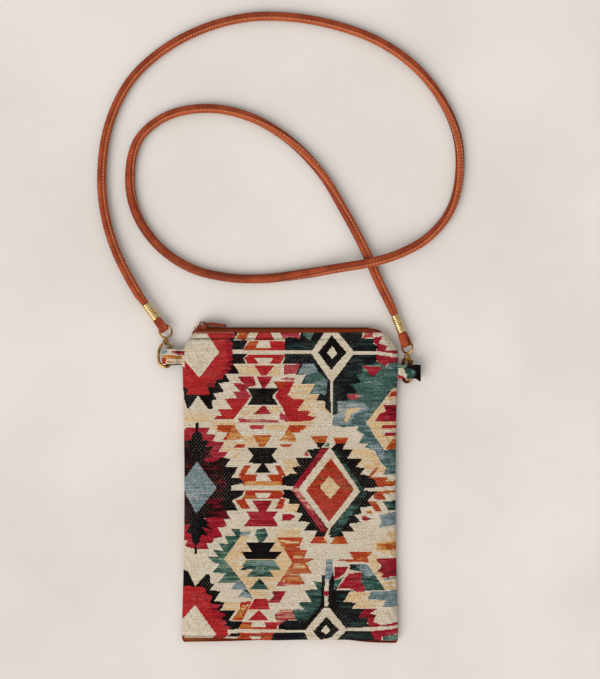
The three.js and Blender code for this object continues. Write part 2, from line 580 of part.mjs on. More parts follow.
// Leather strap: a round cord that leaves one ferrule, loops over itself and enters the other
function strapCord(leftEnd, rightEnd) {
  const along = (end, distance) => new THREE.Vector3(distance, 0, 0).applyMatrix4(end.matrix);
  const points = [
    along(leftEnd, STRAP_START), along(leftEnd, STRAP_START + STRAP_LEAD),
    ...STRAP_ROUTE.map(([x, y, z]) => new THREE.Vector3(x, MOUTH_Y + y, z)),
    along(rightEnd, STRAP_START + STRAP_LEAD), along(rightEnd, STRAP_START),
  ];
  return new THREE.ExtrudeGeometry(circleShape(STRAP_DIAMETER / 2, STRAP_SIDES), {
    steps: STRAP_STEPS, extrudePath: new THREE.CatmullRomCurve3(points), bevelEnabled: false,
  });
}

const pouch = new THREE.Group();
pouch.add(pouchBody(), zipChain());

const slider = named('zip_slider', zipSlider(), rustEnamel);
slider.position.set(SLIDER_LEFT + SLIDER_LENGTH / 2, 0, MIDDLE_Z);
const pull = named('zip_pull', zipPull(), rustEnamel);
pull.position.set(SLIDER_LEFT + SLIDER_LENGTH / 2, PULL_AXIS_Y, MIDDLE_Z);
pouch.add(slider, pull);

const leftX = -BAG_WIDTH / 2 - LEFT_CLASP.out;
const rightX = BAG_WIDTH / 2 + RIGHT_CLASP.out;
const leftEnd = strapEnd('left', LEFT_CLASP, leftX);
const rightEnd = strapEnd('right', RIGHT_CLASP, rightX);
pouch.add(clasp('left', LEFT_CLASP, leftX), clasp('right', RIGHT_CLASP, rightX), leftEnd, rightEnd);
pouch.add(named('tab_left', clothTab(-1, LEFT_TAB, LEFT_CLASP), cloth));
pouch.add(named('tab_right', clothTab(1, RIGHT_TAB, RIGHT_CLASP), cloth));
pouch.add(named('strap_cord', strapCord(leftEnd, rightEnd), leather));

export default pouch;
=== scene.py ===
"""Looks of a woven zip pouch on a stitched leather cord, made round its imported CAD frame."""
import json
import math

import bmesh
import bpy
import numpy as np
from mathutils import Matrix, Vector

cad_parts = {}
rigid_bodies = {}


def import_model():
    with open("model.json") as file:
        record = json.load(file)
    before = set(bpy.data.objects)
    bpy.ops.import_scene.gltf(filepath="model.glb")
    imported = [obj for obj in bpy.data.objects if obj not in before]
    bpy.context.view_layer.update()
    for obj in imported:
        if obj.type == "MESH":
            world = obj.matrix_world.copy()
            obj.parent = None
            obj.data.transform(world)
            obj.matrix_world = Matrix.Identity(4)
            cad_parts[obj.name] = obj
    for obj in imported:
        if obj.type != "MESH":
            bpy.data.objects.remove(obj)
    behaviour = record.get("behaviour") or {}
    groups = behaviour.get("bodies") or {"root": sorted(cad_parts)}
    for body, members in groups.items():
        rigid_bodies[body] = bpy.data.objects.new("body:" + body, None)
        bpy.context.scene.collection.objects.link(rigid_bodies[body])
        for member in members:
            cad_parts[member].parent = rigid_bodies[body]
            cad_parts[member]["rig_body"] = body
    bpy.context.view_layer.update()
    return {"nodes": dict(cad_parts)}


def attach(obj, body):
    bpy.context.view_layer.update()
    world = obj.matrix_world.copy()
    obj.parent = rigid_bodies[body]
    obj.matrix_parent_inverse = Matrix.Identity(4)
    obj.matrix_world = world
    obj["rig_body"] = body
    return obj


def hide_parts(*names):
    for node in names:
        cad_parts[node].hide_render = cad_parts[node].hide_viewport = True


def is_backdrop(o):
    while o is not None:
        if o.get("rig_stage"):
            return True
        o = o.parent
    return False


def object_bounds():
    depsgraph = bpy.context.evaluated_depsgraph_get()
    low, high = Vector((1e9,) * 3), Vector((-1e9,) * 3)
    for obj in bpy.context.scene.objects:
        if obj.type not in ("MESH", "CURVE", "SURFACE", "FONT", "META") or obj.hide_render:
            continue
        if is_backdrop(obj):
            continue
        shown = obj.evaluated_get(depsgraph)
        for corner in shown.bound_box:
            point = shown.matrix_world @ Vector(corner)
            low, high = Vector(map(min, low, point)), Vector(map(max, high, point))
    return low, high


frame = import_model()
MM = 0.001

# The camera hangs straight over the pouch. One pixel of the 600 x 679 picture is 0.7 mm at the
# height of the side seam, and the long lens keeps the view nearly flat.
PIXEL = 0.7 * MM
PICTURE_HEIGHT = 679
VIEW_CENTRE = (7.0 * MM, 103.25 * MM)
SEAM_HEIGHT = 5.0 * MM
camera = bpy.data.objects.new("camera", bpy.data.cameras.new("camera"))
camera.data.lens = 85
camera.data.sensor_width = 36
reach = PICTURE_HEIGHT * PIXEL * camera.data.lens / camera.data.sensor_width
camera.location = (*VIEW_CENTRE, SEAM_HEIGHT + reach)
bpy.context.scene.collection.objects.link(camera)
bpy.context.scene.camera = camera

# The strap is a leather strip rolled round a cord core and sewn shut along a narrow flange. It runs
# from one ferrule to the other, lies on the table in two loops, and crosses once over itself.
CORE_RADIUS = 3.12
FLANGE_REACH = 0.55
FLANGE_SPREAD = 15
STRAP_STEP = 1.1
STRAP_SIDES = 22
GROOVE_DEPTH, GROOVE_ANGLE, GROOVE_SPREAD = 0.26, 50, 7
RIPPLE = 0.05
LEFT_START, LEFT_LEAD = (-101.254, 128.418, 5.0), (-107.132, 136.508, 5.0)
RIGHT_LEAD, RIGHT_START = (69.2, 129.811, 4.1), (73.326, 120.539, 4.147)
STRAP_ROUTE = (
    (-122.3, 165.8, 3.6), (-130.2, 193.5, 3.4), (-132, 222, 3.4), (-126.8, 254.5, 3.4),
    (-112, 284.6, 3.4), (-88.5, 306.5, 3.4), (-60, 321.4, 3.4), (-30, 329, 3.4),
    (0, 329.2, 3.4), (30, 324, 3.4), (60, 313.3, 3.4), (86, 296, 3.4),
    (105.5, 272.5, 3.4), (117, 246.5, 3.4), (118.8, 219, 3.4), (112.5, 194, 3.5),
    (97, 175, 4.8), (76, 163, 8.1), (56, 157, 10.2), (34, 153.3, 8.3),
    (8, 149.2, 4.8), (-18, 146, 3.5), (-44, 146.8, 3.4), (-70, 153.5, 3.4),
    (-93, 169.5, 3.4), (-108, 192, 3.4), (-112.5, 217, 3.4), (-106.5, 243, 3.4),
    (-87, 259.6, 3.4), (-58, 265.2, 3.4), (-28, 259.2, 3.4), (0, 242.5, 3.4),
    (22.5, 219, 3.4), (38.5, 192.5, 3.4), (51.6, 167.8, 3.4), (62.4, 143.5, 3.5),
)
# Where the sewn flange points along the way: share of the length, degrees up from the right hand
FLANGE_TURN = ((0, 32), (0.36, 32), (0.43, 90), (0.5, 146), (0.56, 158), (0.62, 240), (0.69, 335),
               (0.76, 392), (0.83, 398), (0.88, 450), (0.93, 500), (1, 505))


def drawn_through(points, spans=40):
    """A centripetal Catmull-Rom line through the points, which is the line the CAD strap takes."""
    points = np.asarray(points, float)
    ends = np.vstack([2 * points[0] - points[1], points, 2 * points[-1] - points[-2]])
    line = []
    for before, here, there, after in zip(ends, ends[1:], ends[2:], ends[3:]):
        lead, gap, tail = (np.linalg.norm(q - p) ** 0.5
                           for p, q in ((before, here), (here, there), (there, after)))
        leave = gap * ((here - before) / lead - (there - before) / (lead + gap) + (there - here) / gap)
        enter = gap * ((there - here) / gap - (after - here) / (gap + tail) + (after - there) / tail)
        t = np.linspace(0, 1, spans, endpoint=False)[:, None]
        bow, bend = 3 * (there - here) - 2 * leave - enter, 2 * (here - there) + leave + enter
        line.append(here + leave * t + bow * t ** 2 + bend * t ** 3)
    return np.vstack([*line, points[-1:]])


def evenly(line, step):
    """The same line with its points an even step apart, and its length."""
    run = np.concatenate([[0], np.cumsum(np.linalg.norm(np.diff(line, axis=0), axis=1))])
    marks = np.linspace(0, run[-1], int(run[-1] / step) + 1)
    return np.stack([np.interp(marks, run, line[:, k]) for k in range(3)], axis=1), run[-1]


def piece(name, bm, finish):
    """A finished mesh as an object at the origin, smooth, with one finish."""
    mesh = bpy.data.meshes.new(name)
    for face in bm.faces:
        face.smooth = True
    bm.to_mesh(mesh)
    bm.free()
    mesh.materials.append(finish)
    made = bpy.data.objects.new(name, mesh)
    bpy.context.scene.collection.objects.link(made)
    return made


def strip(along, across, place, closed=False):
    """A cut strip: a grid of cells, with UVs, whose points go where place(u, v) lays them, in mm."""
    bm = bmesh.new()
    bm.loops.layers.uv.new("UVMap")
    bmesh.ops.create_grid(bm, x_segments=along, y_segments=across, size=0.5, calc_uvs=True)
    flat = np.array([vert.co[:2] for vert in bm.verts]) + 0.5
    for vert, spot in zip(bm.verts, place(flat[:, 0], flat[:, 1]) * MM):
        vert.co = spot
    if closed:
        bmesh.ops.remove_doubles(bm, verts=bm.verts, dist=1e-7)
        bmesh.ops.recalc_face_normals(bm, faces=bm.faces)
    return bm


class Strand:
    """One socket of a finish: sums on it add Math nodes, and node() adds any other kind."""

    def __init__(self, tree, socket=None):
        self.tree, self.socket = tree, socket

    def node(self, kind, settings=None, sockets=None, out=0):
        made = self.tree.nodes.new("ShaderNode" + kind)
        for key, value in (settings or {}).items():
            setattr(made, key, value)
        for key, value in (sockets or {}).items():
            entry = made.inputs[key] if isinstance(key, int) else next(
                s for s in made.inputs if s.enabled and key in (s.identifier, s.name))
            if isinstance(value, Strand):
                self.tree.links.new(value.socket, entry)
            else:
                entry.default_value = (*value, 1) if entry.type == "RGBA" else value
        return Strand(self.tree, made.outputs[out] if isinstance(out, str) else
                      [s for s in made.outputs if s.enabled][out])

    def sums(self, operation, *terms):
        return self.node("Math", {"operation": operation}, dict(enumerate(terms)))

    def mix(self, one, other):
        """One colour where this is 0, the other where it is 1."""
        return self.node("Mix", {"data_type": "RGBA"},
                         {"Factor_Float": self, "A_Color": one, "B_Color": other})

    def within(self, low, high):
        """0 below low, 1 above high, and smooth between."""
        return self.node("MapRange", {"interpolation_type": "SMOOTHSTEP"},
                         {"Value": self, "From Min": low, "From Max": high})

    def __add__(self, other):
        return self.sums("ADD", self, other)

    def __sub__(self, other):
        return self.sums("SUBTRACT", self, other)

    def __rsub__(self, other):
        return self.sums("SUBTRACT", other, self)

    def __mul__(self, other):
        return self.sums("MULTIPLY", self, other)

    __radd__, __rmul__ = __add__, __mul__


def finish_named(name):
    """An empty finish, the strand that its nodes start from, and the place on the object."""
    material = bpy.data.materials.new(name)
    material.use_nodes = True
    material.node_tree.nodes.clear()
    start = Strand(material.node_tree)
    return material, start, start.node("TexCoord", out="Object")


def seal(material, start, height=None, depth=0.1, **sockets):
    """Ends a finish in one shader; height, in 0 to 1, is a relief of that depth in mm."""
    named = {key.replace("_", " "): value for key, value in sockets.items()}
    if height is not None:
        named["Normal"] = start.node("Bump", None, {"Height": height, "Distance": depth * MM})
    shader = start.node("BsdfPrincipled", None, named)
    output = material.node_tree.nodes.new("ShaderNodeOutputMaterial")
    material.node_tree.links.new(shader.socket, output.inputs["Surface"])
    return material


def dye(red, green, blue):
    """A colour as it is seen on a screen, 0 to 255, as the shader wants it."""
    return tuple((c / 255 / 12.92) if c <= 10 else ((c / 255 + 0.055) / 1.055) ** 2.4
                 for c in (red, green, blue))


def noise(start, spot, scale, detail=2.0):
    return start.node("TexNoise", None, {"Vector": spot, "Scale": scale, "Detail": detail}, out="Fac")


def leather_finish(name, sewn):
    """Rust-tan leather with a fine grain; a sewn one has a painted highlight on its flange, and painted
    shade in the crease by the flange, on the side away from it and down its flanks.
    """
    material, start, spot = finish_named(name)
    grain = start.node("TexVoronoi", {"feature": "DISTANCE_TO_EDGE"},
                       {"Vector": spot, "Scale": 1900.0}, out="Distance").within(0.02, 0.3)
    cloud = noise(start, spot, 95.0, 3.0)
    fine = noise(start, spot, 1500.0, 3.0)
    colour = cloud.within(0.3, 0.72).mix(dye(148, 56, 22), dye(186, 83, 40))
    colour = (fine.within(0.35, 0.7) * 0.5).mix(colour, dye(104, 34, 12))
    if sewn:
        uv = start.node("TexCoord", out="UV")
        turn = start.node("SeparateXYZ", None, {"Vector": uv}, out="Y")
        side = turn.sums("ABSOLUTE", turn * 2 - 1)
        # Painted highlight along the flange's lip.
        flange_highlight = side.within(0.8, 0.84)
        # Painted shade in the crease beside the flange and down the side away from the flange.
        fold = side.within(0.7, 0.76) * (1 - side.within(0.79, 0.83))
        colour = (flange_highlight * 0.3).mix(colour, dye(206, 108, 58))
        colour = (fold * 0.5 + (1 - side.within(0.15, 0.5)) * 0.4).mix(colour, dye(72, 22, 6))
        # Painted shade down the strap's flanks, darker where its surface turns away from the top.
        flank_shade = 1 - start.node("Attribute", {"attribute_name": "facing_up"}, out="Fac").within(0.1, 0.66)
        colour = (flank_shade * 0.72).mix(colour, dye(74, 26, 8))
    return seal(material, start, grain * 0.7 + fine * 0.6, 0.1, Base_Color=colour,
                Roughness=0.45 + cloud * 0.2, Specular_IOR_Level=0.22)


strap_leather = leather_finish("strap_leather", sewn=True)
loop_leather = leather_finish("loop_leather", sewn=False)
strap_points = (LEFT_START, LEFT_LEAD, *STRAP_ROUTE, RIGHT_LEAD, RIGHT_START)
strap_line, strap_length = evenly(drawn_through(strap_points), STRAP_STEP)
heading = np.gradient(strap_line, axis=0)
heading /= np.linalg.norm(heading, axis=1)[:, None]
right_hand = np.cross(heading, (0, 0, 1))
right_hand /= np.linalg.norm(right_hand, axis=1)[:, None]
upward = np.cross(right_hand, heading)
shares = np.linspace(0, 1, len(strap_line))
seam_turn = np.radians(np.interp(shares, *zip(*FLANGE_TURN)))


def round_strap(at, angle, radius):
    """The point at a place on the strap's line, an angle round it from the flange, and a radius."""
    k = np.rint(at * (len(strap_line) - 1)).astype(int)
    turn = seam_turn[k] + angle
    out = np.cos(turn)[:, None] * right_hand[k] + np.sin(turn)[:, None] * upward[k]
    return strap_line[k] + out * np.asarray(radius)[..., None]


def strap_skin(u, v):
    """The rolled strip: a round core, with the flange where its two edges meet at v = 0 and 1."""
    angle = 2 * np.pi * (v + 0.06 * np.sin(2 * np.pi * v))
    near = np.degrees(np.minimum(angle, 2 * np.pi - angle))
    ends = np.minimum(u, 1 - u) * strap_length
    slim = 0.84 + 0.16 * np.clip(ends / 9, 0, 1) ** 0.7
    flange = FLANGE_REACH * np.exp(-((near / FLANGE_SPREAD) ** 4)) * np.clip(ends / 6, 0, 1)
    groove = GROOVE_DEPTH * np.exp(-(((near - GROOVE_ANGLE) / GROOVE_SPREAD) ** 2))
    ripple = RIPPLE * np.sin(u * strap_length * 1.3 + np.cos(angle) * 2)
    skin = round_strap(u, angle, (CORE_RADIUS + ripple - groove) * slim + flange)
    skin[:, 2] = np.maximum(skin[:, 2], 0.05)
    return skin


strap = piece("strap", strip(len(strap_line) - 1, STRAP_SIDES, strap_skin, closed=True), strap_leather)
facing_up = strap.data.attributes.new("facing_up", "FLOAT", "POINT")
for vert, share in zip(strap.data.vertices, facing_up.data):
    share.value = vert.normal.z
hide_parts("strap_cord")
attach(strap, "pouch")

# Saddle stitches close the strap through its flange, about one every two millimetres, and show on
# both faces of it. The waxed thread is paler than the leather and sinks in at each hole.
STITCH_PITCH = 2.05
STITCH_LENGTH = 1.5
STITCH_RADIUS = 0.4
STITCH_ANGLE = math.radians(30)
STITCH_LEAN, STITCH_BATCH = 0.16, 20
FIRST_STITCH, LAST_STITCH = 5, int(strap_length / STITCH_PITCH) - 4
material, start, spot = finish_named("stitch_thread")
fuzz = noise(start, spot, 3200.0, 2.0)
stitch_thread = seal(material, start, fuzz, 0.06, Base_Color=fuzz.within(0.3, 0.7).mix(
    dye(196, 118, 80), dye(226, 160, 124)), Roughness=0.7 + fuzz * 0.15)
stitches = bmesh.new()
sewn = bpy.data.meshes.new("sewn")
for first in range(FIRST_STITCH, LAST_STITCH, STITCH_BATCH):
    few = bmesh.new()
    for k in range(first, min(first + STITCH_BATCH, LAST_STITCH)):
        share = k * STITCH_PITCH / strap_length
        step = int(round(share * (len(strap_line) - 1)))
        for face in (1, -1):
            middle = round_strap(np.array([share]), face * STITCH_ANGLE, CORE_RADIUS + 0.04)[0]
            along = Vector(heading[step])
            outward = Vector(middle - strap_line[step]).normalized()
            lean = (along + outward.cross(along) * STITCH_LEAN * face).normalized()
            turned = Matrix((lean, outward.cross(lean), outward)).transposed().to_4x4()
            middle[2] = max(middle[2], STITCH_RADIUS)
            bmesh.ops.create_uvsphere(
                few, u_segments=6, v_segments=4, radius=MM,
                matrix=Matrix.Translation(Vector(middle) * MM) @ turned
                @ Matrix.Diagonal((STITCH_LENGTH / 2, STITCH_RADIUS, STITCH_RADIUS, 1)))
    few.to_mesh(sewn)
    few.free()
    stitches.from_mesh(sewn)
strap_stitches = piece("strap_stitches", stitches, stitch_thread)
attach(strap_stitches, "pouch")

# At each end the strap's leather is turned back as a flat loop through the clasp's ring, and both
# layers are squeezed together under the ferrule. The loops are soft at their edges.


def worked(name, node, voxel, rounds, finish):
    """A CAD node's own shape as cast or moulded: merged, remeshed and eased until its edges round off."""
    bm = bmesh.new()
    bm.from_mesh(frame["nodes"][node].data)
    bmesh.ops.remove_doubles(bm, verts=bm.verts, dist=2e-6)
    rough = bpy.data.meshes.new("rough")
    bm.to_mesh(rough)
    holder = bpy.data.objects.new("rough", rough)
    bpy.context.scene.collection.objects.link(holder)
    remesh = holder.modifiers.new("remesh", "REMESH")
    remesh.mode, remesh.voxel_size = "VOXEL", voxel * MM
    solid = bpy.data.meshes.new_from_object(
        holder.evaluated_get(bpy.context.evaluated_depsgraph_get()))
    bm.clear()
    bm.from_mesh(solid)
    for _ in range(rounds):
        bmesh.ops.smooth_vert(bm, verts=bm.verts, factor=0.5, use_axis_x=True, use_axis_y=True,
                              use_axis_z=True)
    bpy.data.objects.remove(holder)
    made = piece(name, bm, finish)
    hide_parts(node)
    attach(made, frame["nodes"][node]["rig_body"])
    return made


for side in ("left", "right"):
    loop = worked(f"leather_loop_{side}", f"strap_loop_{side}", 0.22, 14, loop_leather)

# The ferrules are thin gold-plated brass tubes, crimped into rings over the strap's ends. Each is
# spun from one profile: eight rounded ribs between two plain ends.


def gold_finish(name, bright, dull, tarnish):
    """Gold plate, brighter where it is rubbed and a little brown in its hollows."""
    material, start, spot = finish_named(name)
    cloud = noise(start, spot, 260.0, 3.0)
    specks = noise(start, spot, 2600.0, 2.0)
    ground = cloud.within(0.3, 0.75).mix(bright, dull)
    aged = (specks.within(0.4, 0.75) * tarnish).mix(ground, dye(92, 60, 26))
    return seal(material, start, specks, 0.012, Base_Color=aged, Metallic=1.0,
                Roughness=0.17 + cloud * 0.14 + specks * 0.06)


gold_plate = gold_finish("gold_plate", dye(236, 212, 158), dye(206, 168, 102), 0.2)
antique_gold = gold_finish("antique_gold", dye(196, 152, 86), dye(104, 70, 32), 0.6)
FERRULE_FROM, FERRULE_TO = 6.5, 19.6
FERRULE_BORE, FERRULE_ROOT, RIB_RISE, RIBS, RIB_STEPS = 2.4, 2.66, 0.5, 8, 8
strap_exits = {"left": ((-89.557, 112.319, 5.0), (-0.5878, 0.8090, 0.0)),
               "right": ((80.781, 102.088, 4.147), (-0.3746, 0.9272, 0.0))}
for side, (wire, out) in strap_exits.items():
    profile = [(FERRULE_BORE, FERRULE_FROM)]
    for step in range(RIB_STEPS * RIBS + 1):
        wave = abs(math.sin(math.pi * step / RIB_STEPS)) ** 0.55
        profile.append((FERRULE_ROOT + RIB_RISE * wave,
                        FERRULE_FROM + (FERRULE_TO - FERRULE_FROM) * step / (RIB_STEPS * RIBS)))
    profile.append((FERRULE_BORE, FERRULE_TO))
    bm = bmesh.new()
    ring = [bm.verts.new((r * MM, 0, h * MM)) for r, h in profile]
    edges = [bm.edges.new(pair) for pair in zip(ring, ring[1:] + ring[:1])]
    bmesh.ops.spin(bm, geom=ring + edges, cent=(0, 0, 0), axis=(0, 0, 1), dvec=(0, 0, 0),
                   angle=2 * math.pi, steps=40, use_merge=True, use_duplicate=False)
    bmesh.ops.remove_doubles(bm, verts=bm.verts, dist=1e-7)
    turn = Vector((0, 0, 1)).rotation_difference(Vector(out)).to_matrix().to_4x4()
    bmesh.ops.transform(bm, matrix=Matrix.Translation(Vector(wire) * MM) @ turn, verts=bm.verts)
    bmesh.ops.recalc_face_normals(bm, faces=bm.faces)
    ferrule = piece(f"crimped_ferrule_{side}", bm, gold_plate)
    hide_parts(f"ferrule_{side}")
    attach(ferrule, "pouch")

# The swivel clasps are cast and gold plated: a ring for the strap, a hook that turns under it, and
# a sprung gate on a rivet that shuts the hook.
for side in ("left", "right"):
    for part, voxel, rounds in (("swivel_ring", 0.16, 3), ("clasp_hook", 0.16, 4), ("clasp_gate", 0.12, 3)):
        cast = worked(f"{part}_{side}_cast", f"{part}_{side}", voxel, rounds, antique_gold)
    frame["nodes"][f"gate_pin_{side}"].material_slots[0].material = antique_gold
material, start, spot = finish_named("spring_wire")
drawn = noise(start, spot, 1800.0, 2.0)
spring_wire = seal(material, start, drawn, 0.01, Base_Color=drawn.within(0.3, 0.7).mix(
    dye(150, 150, 152), dye(196, 196, 196)), Metallic=1.0, Roughness=0.28 + drawn * 0.15)
for side in ("left", "right"):
    frame["nodes"][f"gate_spring_{side}"].material_slots[0].material = spring_wire

